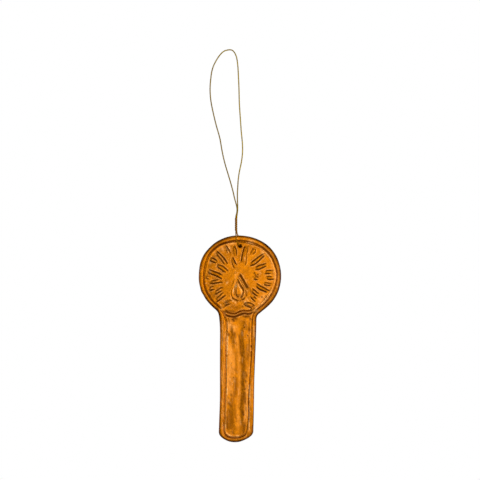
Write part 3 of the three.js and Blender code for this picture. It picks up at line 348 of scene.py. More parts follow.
# soft painted shade, drawn as darker lacquer: (line, half width, how much)
PAINTED_SHADE = [
    ([(8.16, -113.29), (9.63, -116.98), (11.10, -120.42)], 0.45, 0.5),
    ([(12.04, -96.29), (12.53, -97.47)], 0.45, 0.5),
    ([(3.78, -96.98), (3.78, -95.12), (5.11, -94.23), (6.44, -95.02)], 0.34, 0.6),
    ([(-4.08, -112.80), (-3.88, -114.77)], 0.50, 0.5),
    ([(-8.11, -118.70), (-7.62, -121.40)], 0.50, 0.5),
    ([(10.96, -110.94), (11.84, -111.33)], 0.40, 0.6),
    ([(20.88, -107.69), (21.37, -108.87)], 0.40, 0.7),
    ([(2.26, -137.86), (2.80, -141.79)], 0.55, 0.6),
    ([(-0.64, -138.35), (-0.44, -140.81)], 0.50, 0.8),
    ([(1.03, -132.75), (2.75, -133.04)], 0.50, 1.0),
    ([(6.14, -130.59), (7.12, -130.29)], 0.45, 1.0),
    ([(-3.39, -125.77), (-2.60, -126.56)], 0.55, 0.9),
    ([(-4.96, -127.25), (-4.37, -128.03)], 0.45, 1.0),
    ([(7.12, -165.86), (7.81, -166.85)], 0.55, 1.0),
    ([(7.52, -161.44), (7.91, -163.41)], 0.50, 0.8),
    ([(6.34, -178.64), (7.12, -179.42)], 0.55, 1.0),
    ([(5.94, -187.48), (7.42, -187.97)], 0.60, 0.7),
    ([(0.54, -167.83), (0.84, -170.78)], 0.60, 0.5),
    ([(5.75, -148.67), (5.94, -151.12)], 0.45, 0.7),
    ([(3.00, -181.58), (3.49, -183.06)], 0.50, 0.4),
    ([(-0.15, -159.48), (0.25, -161.93)], 0.60, 0.2),
    ([(9.68, -130.98), (10.56, -132.95)], 0.50, 0.7),
    ([(10.17, -146.21), (10.86, -150.14)], 0.45, 0.1),
    ([(-12.43, -104.94), (-12.53, -109.85), (-12.14, -114.77), (-11.45, -117.72)], 0.75, 0.3),
    ([(-10.51, -119.19), (-9.04, -121.65)], 0.80, 0.7),
    ([(3.29, -118.45), (3.19, -120.17)], 0.80, 0.2),
    ([(0.84, -138.84), (1.72, -142.28)], 0.90, 0.1),
    ([(-0.64, -175.20), (0.05, -179.62), (0.15, -183.55), (-0.44, -186.50)], 1.70, 0.4),
    ([(6.44, -134.91), (7.32, -136.19)], 0.50, 0.7),
    ([(4.47, -122.87), (5.70, -122.92)], 0.45, 0.7),
    ([(12.14, -109.46), (12.72, -111.13)], 0.30, 1.0),
    ([(-3.14, -127.34), (-0.44, -128.13), (3.00, -128.03)], 0.65, 0.6),
    ([(5.45, -125.18), (6.93, -126.36)], 0.50, 0.7),
    ([(11.25, -124.59), (11.64, -126.31)], 0.45, 1.0),
    ([(6.44, -130.59), (8.40, -130.78), (10.12, -130.49)], 0.60, 0.8),
    ([(0.54, -131.77), (2.26, -132.65)], 0.60, 1.0),
    ([(7.22, -132.21), (8.01, -137.86)], 0.90, 0.4),
    ([(-0.20, -140.32), (1.28, -141.54), (2.11, -145.23)], 0.95, 0.3),
    ([(8.40, -143.75), (8.79, -153.09)], 1.15, 0.4),
    ([(2.80, -159.97), (2.70, -167.83), (1.23, -171.76), (1.82, -175.69)], 1.10, 0.4),
    ([(7.22, -167.34), (7.22, -174.21)], 0.80, 0.6),
    ([(6.34, -176.18), (6.53, -179.62)], 0.70, 0.7),
    ([(7.12, -183.06), (6.24, -188.46)], 0.75, 0.5),
    ([(-1.33, -179.13), (-1.23, -186.50)], 0.70, 0.6),
    ([(6.73, -114.77), (8.40, -117.72), (8.01, -121.40)], 0.65, 0.4),
    ([(5.06, -96.20), (5.94, -97.38)], 0.50, 1.0),
    ([(10.86, -96.79), (11.55, -98.06)], 0.45, 0.8),
    ([(20.88, -107.89), (21.18, -110.84)], 0.45, 0.4),
    ([(6.68, -157.51), (7.66, -158.00), (7.71, -161.93)], 0.60, 0.5),
    ([(9.97, -147.19), (10.17, -151.12)], 0.60, 0.5),
    ([(-10.76, -101.50), (-9.04, -98.31), (-6.58, -95.61), (-2.90, -93.35), (1.03, -92.27)], 0.55, 0.4),
    ([(16.26, -93.54), (19.95, -96.84), (22.65, -101.50), (24.12, -106.91)], 0.50, 0.1),
    ([(-14.00, -105.92), (-14.20, -109.85), (-13.90, -114.77)], 0.50, 0.1),
    ([(-10.27, -116.73), (-9.29, -119.68), (-7.81, -122.14)], 0.75, 0.4),
    ([(-6.34, -126.31), (-5.55, -128.77)], 0.65, 0.8),
    ([(20.19, -122.87), (16.75, -126.17)], 0.50, 0.5),
    ([(-0.44, -125.33), (2.51, -126.36), (5.94, -126.17)], 1.10, 0.3),
    ([(10.56, -124.79), (11.74, -126.76)], 0.50, 0.8),
    ([(0.64, -131.67), (4.23, -131.67)], 0.70, 0.7),
    ([(9.19, -135.89), (9.88, -138.60)], 0.70, 0.7),
    ([(4.27, -139.33), (5.06, -143.26), (5.36, -150.14)], 0.55, 0.6),
    ([(1.03, -144.00), (2.01, -146.70)], 0.75, 0.3),
    ([(4.23, -152.60), (6.93, -154.56), (8.30, -157.51)], 0.90, 0.3),
    ([(-0.15, -161.44), (0.15, -165.37)], 0.70, 0.3),
    ([(-3.59, -139.33), (-3.29, -144.25)], 0.50, 0.3),
    ([(-3.59, -132.45), (-3.39, -135.16)], 0.55, 0.5),
    ([(-4.08, -146.21), (-3.88, -150.14)], 0.50, 0.5),
    ([(2.21, -172.74), (2.60, -177.65), (3.10, -182.08)], 0.60, 0.4),
    ([(0.54, -186.99), (2.26, -188.46)], 0.60, 0.6),
    ([(10.17, -144.25), (10.66, -146.46)], 0.50, 0.9),
]


# ---------------------------------------------------------------- geometry helpers
def spline(points, spacing, closed=False):
    """Points about every spacing along a centripetal Catmull-Rom curve through the given points."""
    p = np.array(points, float)
    if closed:
        p = np.vstack([p[-1], p, p[:2]])
    else:
        p = np.vstack([2 * p[0] - p[1], p, 2 * p[-1] - p[-2]])
    dense = []
    for i in range(1, len(p) - 2):
        p0, p1, p2, p3 = p[i - 1 : i + 3]
        t0 = 0.0
        t1 = t0 + max(np.linalg.norm(p1 - p0), 1e-6) ** 0.5
        t2 = t1 + max(np.linalg.norm(p2 - p1), 1e-6) ** 0.5
        t3 = t2 + max(np.linalg.norm(p3 - p2), 1e-6) ** 0.5
        t = np.linspace(t1, t2, 24, endpoint=False)[:, None]
        a1 = (t1 - t) / (t1 - t0) * p0 + (t - t0) / (t1 - t0) * p1
        a2 = (t2 - t) / (t2 - t1) * p1 + (t - t1) / (t2 - t1) * p2
        a3 = (t3 - t) / (t3 - t2) * p2 + (t - t2) / (t3 - t2) * p3
        b1 = (t2 - t) / (t2 - t0) * a1 + (t - t0) / (t2 - t0) * a2
        b2 = (t3 - t) / (t3 - t1) * a2 + (t - t1) / (t3 - t1) * a3
        dense.append((t2 - t) / (t2 - t1) * b1 + (t - t1) / (t2 - t1) * b2)
    dense = np.vstack([*dense, p[-2][None]])
    run = np.concatenate([[0], np.cumsum(np.linalg.norm(np.diff(dense, axis=0), axis=1))])
    count = max(2, int(round(run[-1] / spacing)))
    at = np.linspace(0, run[-1], count + 1)
    out = np.stack([np.interp(at, run, dense[:, k]) for k in range(p.shape[1])], 1)
    return out[:-1] if closed else out


def even(points, count):
    """count points evenly along a polyline, ends included."""
    p = np.array(points, float)
    run = np.concatenate([[0], np.cumsum(np.linalg.norm(np.diff(p, axis=0), axis=1))])
    at = np.linspace(0, run[-1], count)
    return np.stack([np.interp(at, run, p[:, k]) for k in range(p.shape[1])], 1)


def near(points, line, reach):
    """For the points within reach of a polyline: their indices, distance, and place along it (0 to its length)."""
    line = np.array(line, float)
    found = np.where(((points > line.min(0) - reach) & (points < line.max(0) + reach)).all(1))[0]
    run = np.concatenate([[0], np.cumsum(np.linalg.norm(np.diff(line, axis=0), axis=1))])
    keep, far, along = [], [], []
    a, d = line[:-1], np.diff(line, axis=0)
    l2 = np.maximum((d**2).sum(1), 1e-12)
    for start in range(0, len(found), 4000):
        part = found[start : start + 4000]
        q = points[part][:, None, :] - a[None]
        t = np.clip((q * d[None]).sum(2) / l2, 0, 1)
        r = np.sqrt(((q - t[..., None] * d[None]) ** 2).sum(2))
        k = r.argmin(1)
        i = np.arange(len(part))
        keep.append(part)
        far.append(r[i, k])
        along.append(run[k] + t[i, k] * np.sqrt(l2[k]))
    if not keep:
        return np.zeros(0, int), np.zeros(0), np.zeros(0), run[-1]
    keep, far, along = np.concatenate(keep), np.concatenate(far), np.concatenate(along)
    ok = far < reach
    return keep[ok], far[ok], along[ok], run[-1]


def inside(points, polygon):
    hit = np.zeros(len(points), bool)
    x, z = points[:, 0], points[:, 1]
    xs, zs = polygon[:, 0], polygon[:, 1]
    j = len(polygon) - 1
    for i in range(len(polygon)):
        cross = (zs[i] > z) != (zs[j] > z)
        if cross.any():
            c = np.where(cross)[0]
            side = x[c] < (xs[j] - xs[i]) * (z[c] - zs[i]) / (zs[j] - zs[i]) + xs[i]
            hit[c[side]] ^= True
        j = i
    return hit


def smoothstep(t):
    t = np.clip(t, 0, 1)
    return t * t * (3 - 2 * t)


def wave(points, size, seed):
    """Smooth random unevenness of about +-1, with bumps of about size, from a few seeded sine waves."""
    rng = np.random.default_rng(seed)
    out = np.zeros(len(points))
    for _ in range(14):
        a = rng.uniform(0, 2 * math.pi)
        k = 2 * math.pi / (size * rng.uniform(0.7, 1.8))
        out += np.sin(k * (points[:, 0] * math.cos(a) + points[:, 1] * math.sin(a)) + rng.uniform(0, 2 * math.pi))
    return out / 14**0.5 / 0.9


# ---------------------------------------------------------------- the relief
def ray_shapes():
    shapes = []
    for left, right in RAYS:
        a, b = even(spline(left, 0.2), 24), even(spline(right, 0.2), 24)
        centre = (a + b) / 2
        half = np.linalg.norm(a - b, axis=1) / 2
        shapes.append((centre, half, a, b))
    return shapes


RAY_SHAPES = ray_shapes()
STROKES = [(spline(line, 0.25), depth, width, dark) for line, depth, width, dark in PRESSED]
RIDGES = [
    # line, half width, height
    (spline(FLAME_RIGHT, 0.25), 0.70, 0.07),
    (spline(FLAME_LEFT, 0.25), 0.62, 0.07),
    (spline(ARC_LEFT, 0.25), 0.62, 0.16),
    (spline(ARC_RIGHT, 0.25), 0.66, 0.20),
    (spline(BAND, 0.25), 0.72, 0.36),
]
DROP_LINE = spline(DROP, 0.20, closed=True)
WORN_AND_HIGHLIGHT = [(spline(line, 0.3), half, much) for line, half, much in WORN_AND_HIGHLIGHT]
PAINTED_SHADE = [(spline(line, 0.3), half, much) for line, half, much in PAINTED_SHADE]
RAY_HEIGHT = 0.10
RAY_GROOVE = 0.20
GLOW_CENTRE = (5.2, -110.6)


def taper(along, length, reach, least):
    return least + (1 - least) * smoothstep(np.minimum(along, length - along) / reach)


def painted_shade_at(points):
    """How much shade is painted at each point, outside the pressed lines."""
    pool_and_shade = np.zeros(len(points))
    for line, half, much in PAINTED_SHADE:
        k, far, along, length = near(points, line, half * 2.6)
        if len(k):
            pool_and_shade[k] = np.maximum(pool_and_shade[k], much * taper(along, length, min(1.2, length / 2), 0.2) * np.exp(-((far / half) ** 2)))
    return pool_and_shade


def relief(points, soft=1.0):
    """(height, pooled lacquer with painted shade, rubbed lacquer with painted highlight) of the field at each point.
    soft above 1 gives the rounder back.
    """
    n = len(points)
    h = np.zeros(n)
    pool_and_shade = np.zeros(n)
    rub_and_highlight = np.zeros(n)
    low = np.zeros(n)      # the deepest pressed line at each point
    burr = np.zeros(n)     # metal pushed up beside the lines
    ridge = np.zeros(n)

    def press(line, depth, width, dark, ends, least, outer=None):
        k, far, along, length = near(points, line, 1.5 * soft)
        if not len(k):
            return
        t = taper(along, length, ends, least)
        low[k] = np.maximum(low[k], depth * t * np.exp(-((far / (width * soft)) ** 2)) / soft**0.5)
        burr[k] = np.maximum(burr[k], 0.22 * depth * t * np.exp(-(((far - 2.1 * width) / (0.80 * width)) ** 2)))
        # the line's dark: lacquer pooled in it and painted shade
        pool_and_shade[k] = np.maximum(pool_and_shade[k], dark * t * np.exp(-((far / (1.28 * width)) ** 3)))
        # painted highlight on the shoulders beside the line, partly rubbed lacquer
        shoulder = 0.62 * min(1.0, dark) * t * np.exp(-(((far - 2.40 * width) / (0.75 * width)) ** 2))
        rub_and_highlight[k] = np.maximum(rub_and_highlight[k], shoulder if outer is None else shoulder * outer[k])

    for (centre, half, a, b), strengths in zip(RAY_SHAPES, RAY_DEPTHS):
        k, far, along, length = near(points, centre, 2.4)
        outer = np.zeros(n)
        if len(k):
            w = np.maximum(np.interp(along / length, np.linspace(0, 1, len(half)), half), 0.25)
            top = np.clip(1 - (far / w) ** 2, 0, 1)
            t = taper(along, length, 1.3, 0.0)
            ridge[k] = np.maximum(ridge[k], RAY_HEIGHT * min(1, half.mean() / 0.6) * t * top)
            strip = t * smoothstep((w + 0.05 - far) / 0.25)
            # the strip between the two lines: painted shade, or below 0 a painted highlight on the crest
            pool_and_shade[k] = np.maximum(pool_and_shade[k], max(strengths[2], 0.0) * strip)
            rub_and_highlight[k] = np.maximum(rub_and_highlight[k], max(-strengths[2], 0.0) * t * np.exp(-((far / 0.30) ** 2)))
            outer[k] = smoothstep((far - w) / 0.25)
        for line, strength in zip((a, b), strengths):
            press(line, RAY_GROOVE * strength, 0.24, 0.95 * strength, 0.70, 0.30, outer)
    for line, half, height in RIDGES:
        k, far, along, length = near(points, line, half * soft)
        if len(k):
            top = np.clip(1 - (far / (half * soft)) ** 2, 0, 1) ** 1.5
            ridge[k] = np.maximum(ridge[k], height * taper(along, length, 2.0, 0.0) * top)
    # the flame's core is a raised drop
    k, far, _, _ = near(points, np.vstack([DROP_LINE, DROP_LINE[:1]]), 3.2)
    if len(k):
        within = inside(points[k], DROP_LINE)
        body = np.where(within, 0.08 + 0.22 * smoothstep(far / 1.1), 0.08 * np.exp(-((far / (0.30 * soft)) ** 2)))
        ridge[k] = np.maximum(ridge[k], body)
    for line, depth, width, dark in STROKES:
        press(line, depth * 1.25, width, dark, 0.8, 0.22)
    for x, z, r in DIMPLES:
        d = np.hypot(points[:, 0] - x, points[:, 1] - z)
        low = np.maximum(low, 0.15 * (r / 0.44) * np.exp(-((d / (r * 0.75 * soft)) ** 2)))
        burr += 0.035 * np.exp(-(((d - r * 1.25) / 0.22) ** 2))
        # the dents are darkened: pooled lacquer and painted shade
        pool_and_shade = np.maximum(pool_and_shade, 0.55 * np.exp(-((d / (r * 0.8)) ** 2)))
    for line, half, height in SWELLS:
        k, far, along, length = near(points, spline(line, 0.8), half * 3)
        if len(k):
            h[k] += height * taper(along, length, 2.6, 0.0) * np.exp(-((far / half) ** 2))
    # rubbed lacquer and painted highlights
    for line, half, much in WORN_AND_HIGHLIGHT:
        k, far, along, length = near(points, line, half * 2.6)
        if len(k):
            rub_and_highlight[k] = np.maximum(rub_and_highlight[k], much * taper(along, length, min(1.0, length / 2), 0.35) * np.exp(-((far / half) ** 2)))
    # soft patches of painted shade
    pool_and_shade = np.maximum(pool_and_shade, painted_shade_at(points))
    # the glow is dished outwards a little, like the inside of a shallow bowl seen from behind
    from_centre = np.hypot(points[:, 0] - GLOW_CENTRE[0], points[:, 1] - GLOW_CENTRE[1]) / 17.0
    h += DOME * np.clip(1 - from_centre**2.6, 0, 1) * smoothstep((points[:, 1] + 130.0) / 5.0)
    h += ridge - low + burr
    # the whole sheet was worked by hand, so no part of it is truly flat
    h += 0.030 * wave(points, 7.0, 5) + 0.010 * wave(points, 2.6, 6)
    down = smoothstep((-131.0 - points[:, 1]) / 4.0)
    h += down * 0.022 * wave(points * (1.0, 0.22), 2.6, 7)
    return h, pool_and_shade, rub_and_highlight


DOME = 0.42
# where the border of the glow and the border of the candle run together with its rim
# (x, z, how strongly the neck is painted as rubbed lacquer with painted highlight)
NECKS = [(-4.10, -127.25, 0.15), (12.60, -127.70, 0.65)]


# ---------------------------------------------------------------- matched lines round the piece
RIM_COUNT = 980


def between(points, i0, i1, count):
    n = len(points)
    run = [points[i0]]
    i = i0
    while True:
        i = (i + 1) % n
        run.append(points[i])
        if i == i1 % n:
            break
    return even(spline(run, 0.1), count + 1)[:-1]


def length_between(points, i0, i1):
    n, total, i = len(points), 0.0, i0
    while i != i1 % n:
        a, b = points[i], points[(i + 1) % n]
        total += math.hypot(a[0] - b[0], a[1] - b[1])
        i = (i + 1) % n
    return total


spans = [(TIES[k], TIES[(k + 1) % len(TIES)]) for k in range(len(TIES))]
lengths = [length_between(OUTLINE, a[0], b[0]) for a, b in spans]
edge_line, groove_line = [], []
for (a, b), long in zip(spans, lengths):
    count = max(2, round(RIM_COUNT * long / sum(lengths)))
    edge_line.append(between(OUTLINE, a[0], b[0], count))
    groove_line.append(between(GROOVE, a[1], b[1], count))
edge_line, groove_line = np.vstack(edge_line), np.vstack(groove_line)
run = np.concatenate([[0], np.cumsum(np.linalg.norm(np.diff(np.vstack([edge_line, edge_line[:1]]), axis=0), axis=1))])
edge_share = run[:-1] / run[-1]


def rounded(line, passes):
    """The closed line, with its joins between spans smoothed."""
    for _ in range(passes):
        line = 0.5 * line + 0.25 * (np.roll(line, 1, 0) + np.roll(line, -1, 0))
    return line


edge_line, groove_line = rounded(edge_line, 2), rounded(groove_line, 8)
if (np.roll(edge_line, -1, 0)[:, 1] * edge_line[:, 0] - np.roll(edge_line, -1, 0)[:, 0] * edge_line[:, 1]).sum() < 0:
    # counter-clockwise from the front
    edge_line, groove_line, edge_share = edge_line[::-1].copy(), groove_line[::-1].copy(), edge_share[::-1].copy()
RIM = len(edge_line)


def round_the_piece(table):
    """A table of values as one value for each point of the border lines."""
    count = len(table)
    return rounded(np.interp(edge_share * count, np.arange(count + 1), [*table, table[0]]), 12)


EDGE, LINE, RUB_AND_HIGHLIGHT = round_the_piece(EDGE_SHADE), round_the_piece(LINE_DARK), round_the_piece(RUBBED_AND_HIGHLIGHT)
LOW = smoothstep((-129.0 - edge_line[:, 1]) / 4.0)     # 1 along the candle, 0 round the glow

# height of the border from the cut edge (0) to the pressed line inside it (1): a bead round the glow,
# a flat band along the candle
BEAD = np.array([
    (0.00, 0.08), (0.05, 0.22), (0.12, 0.37), (0.21, 0.47), (0.34, 0.53), (0.50, 0.56), (0.66, 0.55),
    (0.76, 0.50), (0.84, 0.39), (0.91, 0.20), (0.96, 0.06), (1.00, 0.0), (1.30, 0.0),
])
FLAT = np.array([
    (0.00, 0.08), (0.04, 0.20), (0.09, 0.30), (0.17, 0.37), (0.30, 0.41), (0.45, 0.43), (0.62, 0.43),
    (0.76, 0.40), (0.85, 0.32), (0.92, 0.17), (0.97, 0.04), (1.00, 0.0), (1.30, 0.0),
])
LAST = 1.26


def profile(share, table):
    """The border's profile as a smooth curve."""
    x, y = table[:, 0], table[:, 1]
    slope = np.gradient(y, x)
    share = np.clip(share, x[0], x[-1])
    i = np.clip(np.searchsorted(x, share, "right") - 1, 0, len(x) - 2)
    w = x[i + 1] - x[i]
    t = (share - x[i]) / w
    return (
        (2 * t**3 - 3 * t**2 + 1) * y[i] + (t**3 - 2 * t**2 + t) * w * slope[i]
        + (-2 * t**3 + 3 * t**2) * y[i + 1] + (t**3 - t**2) * w * slope[i + 1]
    )


def surface(shares, step_disc, step_panel, soft):
    """Points, heights, pooled lacquer with painted shade, painted edge shade, triangles, and rubbed lacquer with
    painted highlight of one face of the sheet, rings first, then the field.
    """
    rings = [edge_line + (groove_line - edge_line) * s for s in shares]
    ring_points = np.vstack(rings)
    ring_share = np.repeat(np.array(shares), RIM)
    boundary = rings[-1]
    tree = kdtree.KDTree(RIM)
    for i, (x, z) in enumerate(boundary):
        tree.insert((x, z, 0), i)
    tree.balance()
    grid = []
    for step, top, low in ((step_disc, -91.0, -131.6), (step_panel, -131.6, -193.0)):
        rows = int((top - low) / (step * 0.866))
        for r in range(rows):
            xs = np.arange(-16.0, 26.0, step) + (step / 2 if r % 2 else 0)
            grid.append(np.stack([xs, np.full(len(xs), top - (r + 0.5) * step * 0.866)], 1))
    grid = np.vstack(grid)
    grid = grid[inside(grid, boundary)]
    room = np.array([tree.find((x, z, 0))[2] for x, z in grid])
    step_here = np.where(grid[:, 1] > -131.6, step_disc, step_panel)
    away = np.hypot(grid[:, 0] - HOLE_CENTRE[0], grid[:, 1] - HOLE_CENTRE[1])
    grid = grid[(room > step_here * 0.62) & (away > HOLE_RADIUS + 0.13 + step_here * 0.6)]
    turn = np.linspace(0, 2 * math.pi, 48, endpoint=False)
    hole = np.array(HOLE_CENTRE) + HOLE_RADIUS * np.stack([np.cos(turn), np.sin(turn)], 1)
    collar = np.array(HOLE_CENTRE) + (HOLE_RADIUS + 0.12) * np.stack([np.cos(turn), np.sin(turn)], 1)
    flat = np.vstack([boundary, hole, collar, grid])
    edges = [(i, (i + 1) % RIM) for i in range(RIM)]
    edges += [(RIM + i, RIM + (i + 1) % 48) for i in range(48)]
    out = delaunay_2d_cdt([Vector(p) for p in flat.tolist()], edges, [], 1, 1e-6)
    back = [o[0] if o else -1 for o in out[3]]
    base = len(ring_points) - RIM
    where = lambda i: base + i if i < RIM else len(ring_points) + i - RIM
    faces = []
    for face in out[2]:
        ids = [back[i] for i in face]
        if -1 in ids or all(RIM <= i < RIM + 48 for i in ids):
            continue
        a, b, c = (flat[i] for i in ids)
        if (b[0] - a[0]) * (c[1] - a[1]) - (b[1] - a[1]) * (c[0] - a[0]) < 0:
            ids = ids[::-1]
        faces.append(tuple(where(i) for i in ids))
    for ring in range(len(shares) - 1):
        for i in range(RIM):
            j = (i + 1) % RIM
            a, b = ring * RIM + i, ring * RIM + j
            faces.append((a, b, b + RIM, a + RIM))
    points = np.vstack([ring_points, flat[RIM:]])
    share = np.concatenate([ring_share, np.full(len(points) - len(ring_points), 9.0)])
    h, pool_and_shade, rub_and_highlight = relief(points, soft)
    mix = smoothstep((share - 0.98) / (LAST - 0.98))
    on_ring = share < 5
    ring_index = np.concatenate([np.tile(np.arange(RIM), len(shares)), np.zeros(len(points) - len(ring_points), int)])
    candle = LOW[ring_index]
    bead = profile(np.minimum(share, 1.30), BEAD) * (1 - candle) + profile(np.minimum(share, 1.30), FLAT) * candle
    # the border was raised freehand: its height wanders a little, and it is lower along the candle
    bead = bead * (1 + 0.05 * wave(points, 9.0, 11) + 0.03 * wave(points, 3.5, 12))
    # fine lines of the tool along the candle's border
    bead = bead + candle * 0.022 * np.sin(share * 19.0 + 0.9 * wave(points, 14.0, 15)) * smoothstep((share - 0.12) / 0.1) * smoothstep((0.9 - share) / 0.1)
    rough = 0.012 * wave(points, 2.2, 13)
    height = np.where(on_ring, bead * (1 - mix) + h * mix + rough * (share > 0.02), h)
    closed = np.vstack([groove_line, groove_line[:1]])
    run = np.concatenate([[0], np.cumsum(np.linalg.norm(np.diff(closed, axis=0), axis=1))])
    k, far, along, _ = near(points, closed, 2.4)
    strength = np.interp(along, run, [*LINE, LINE[0]])
    rubbed = np.interp(along, run, [*RUB_AND_HIGHLIGHT, RUB_AND_HIGHLIGHT[0]])
    lower = np.interp(along, run, [*LOW, LOW[0]])
    within = share[k] > 1.0
    width = (0.20 + 0.05 * strength) * soft
    height[k] -= (0.03 + 0.09 * strength) / soft**0.5 * np.exp(-((far / width) ** 2))
    height[k] += np.where(within, 0.05 + 0.05 * rubbed, 0.0) * np.exp(-(((far - 0.75) / 0.36) ** 2)) / soft
    # the pressed line inside the border is darkened: pooled lacquer and painted shade
    line_dark = (0.12 + 0.88 * strength) * np.exp(-((far / (0.27 - 0.07 * lower)) ** 3))
    # painted highlight and rubbed lacquer on the shoulder inside the border line
    line_rub_and_highlight = np.where(within, rubbed, 0.3 * rubbed) * np.exp(-(((far - 0.70) / 0.30) ** 2))
    pool_and_shade = np.maximum(pool_and_shade * np.where(on_ring, mix, 1), painted_shade_at(points))
    pool_and_shade[k] = np.maximum(pool_and_shade[k], line_dark)
    rub_and_highlight[k] = np.maximum(rub_and_highlight[k], line_rub_and_highlight)
    neck = np.zeros(len(points))
    worn_neck_and_highlight = np.zeros(len(points))
    for x, z, much in NECKS:
        spot = np.exp(-(((points[:, 0] - x) ** 2 + (points[:, 1] - z) ** 2) / 1.1**2))
        neck = np.maximum(neck, spot)
        worn_neck_and_highlight = np.maximum(worn_neck_and_highlight, much * spot)
    height = height * (1 - 0.75 * neck) + 0.75 * neck * 0.30
    pool_and_shade *= 1 - 0.80 * neck
    # painted highlight and rubbed lacquer at the necks
    rub_and_highlight = np.maximum(rub_and_highlight, worn_neck_and_highlight)
    # painted shade along the cut edge
    dark = EDGE[ring_index]
    reach = 0.30 - 0.06 * LOW[ring_index] + 0.30 * np.maximum(dark - 0.8, 0)
    rim = np.where(on_ring, np.minimum(dark, 1.0) * np.exp(-((share / reach) ** 3)), 0.0)
    return points, height, pool_and_shade, rim, faces, rub_and_highlight


FRONT_SHARES = [0, 0.035, 0.075, 0.12, 0.165, 0.215, 0.27, 0.33, 0.39, 0.45, 0.51, 0.57, 0.63, 0.69, 0.745, 0.80,
                0.85, 0.895, 0.935, 0.97, 1.0, 1.03, 1.065, 1.105, 1.15, 1.20, LAST]
BACK_SHARES = [0, 0.12, 0.26, 0.42, 0.58, 0.74, 0.88, 1.0, 1.12, LAST]
front = surface(FRONT_SHARES, 0.17, 0.24, 1.0)
rear = surface(BACK_SHARES, 0.55, 0.70, 1.5)


# ---------------------------------------------------------------- the sheet as one mesh
def tin_sheet():
    fp, fh, front_pool_and_shade, frim, ffaces, front_rub_and_highlight = front
    bp, bh, back_pool_and_shade, brim, bfaces, back_rub_and_highlight = rear
    nf = len(fp)
    verts = [(x, -h - SHEET / 2, z) for (x, z), h in zip(fp, fh)]
    # the back is never nearer than 0.16 mm to the front
    verts += [(x, -h + SHEET / 2, z) for (x, z), h in zip(bp, bh * 0.96)]
    pool_and_shade = list(front_pool_and_shade) + [0.0] * len(bp)
    rim = list(frim) + [0.0] * len(bp)
    rub_and_highlight = list(front_rub_and_highlight) + [0.0] * len(bp)
    side = [0.0] * nf + [1.0] * len(bp)
    candle = lambda z: float(smoothstep((-130.5 - z) / 3.0))
    faces = list(ffaces) + [tuple(nf + i for i in reversed(f)) for f in bfaces]
    slots = [0] * len(ffaces) + [1] * len(bfaces)
    # the cut edge: a middle ring stands a little proud, as shears leave it
    out = np.roll(edge_line, -1, 0) - np.roll(edge_line, 1, 0)
    out = np.stack([out[:, 1], -out[:, 0]], 1) / np.linalg.norm(out, axis=1)[:, None]
    rings = []
    for push, depth in ((0.035, 0.05), (0.045, 0.15), (0.02, 0.26)):
        start = len(verts)
        rings.append(start)
        for i in range(RIM):
            x, z = edge_line[i] + out[i] * push
            verts.append((x, -fh[i] - SHEET / 2 + depth, z))
        # the band next to the cut edge carries painted shade
        pool_and_shade += [0.4] * RIM
        rim += list(np.minimum(EDGE, 1.0))
        rub_and_highlight += [0.0] * RIM
        side += [0.5] * RIM
    # back's first ring sits exactly one gauge behind the front's
    for i in range(RIM):
        x, z = bp[i]
        verts[nf + i] = (x, -fh[i] + SHEET / 2, z)
    order = [0, *rings, nf]
    for k in range(len(order) - 1):
        for i in range(RIM):
            j = (i + 1) % RIM
            faces.append((order[k] + j, order[k] + i, order[k + 1] + i, order[k + 1] + j))
            slots.append(0 if k < 1 else 2)
    # the wall of the punched hole, with a slightly drawn-in lip
    first, last = len(FRONT_SHARES) * RIM, nf + len(BACK_SHARES) * RIM
    turn = np.linspace(0, 2 * math.pi, 48, endpoint=False)
    lip = []
    for push, share in ((-0.02, 0.35), (-0.015, 0.7)):
        start = len(verts)
        lip.append(start)
        for i, a in enumerate(turn):
            y0, y1 = verts[first + i][1], verts[last + i][1]
            r = HOLE_RADIUS + push
            verts.append((HOLE_CENTRE[0] + r * math.cos(a), y0 + (y1 - y0) * share, HOLE_CENTRE[1] + r * math.sin(a)))
        # the hole's wall is painted dark as shade
        pool_and_shade += [1.0] * 48
        rim += [0.0] * 48
        rub_and_highlight += [0.0] * 48
        side += [0.5] * 48
    order = [first, *lip, last]
    for k in range(3):
        for i in range(48):
            j = (i + 1) % 48
            faces.append((order[k] + i, order[k] + j, order[k + 1] + j, order[k + 1] + i))
            slots.append(0)
    # the front ring round the hole is painted dark as shade
    for i in range(48):
        pool_and_shade[first + i] = 1.0
    mesh = bpy.data.meshes.new("embossed_tin_sheet")
    mesh.from_pydata([(x * 0.001, y * 0.001, z * 0.001) for x, y, z in verts], [], faces)
    mesh.polygons.foreach_set("material_index", slots)
    mesh.polygons.foreach_set("use_smooth", [True] * len(mesh.polygons))
    for name, values in (("pool_and_shade", pool_and_shade), ("rim", rim), ("side", side), ("rub_and_highlight", rub_and_highlight), ("candle", [candle(v[2]) for v in verts])):
        mesh.attributes.new(name, "FLOAT", "POINT").data.foreach_set("value", np.array(values, np.float32))
    return mesh


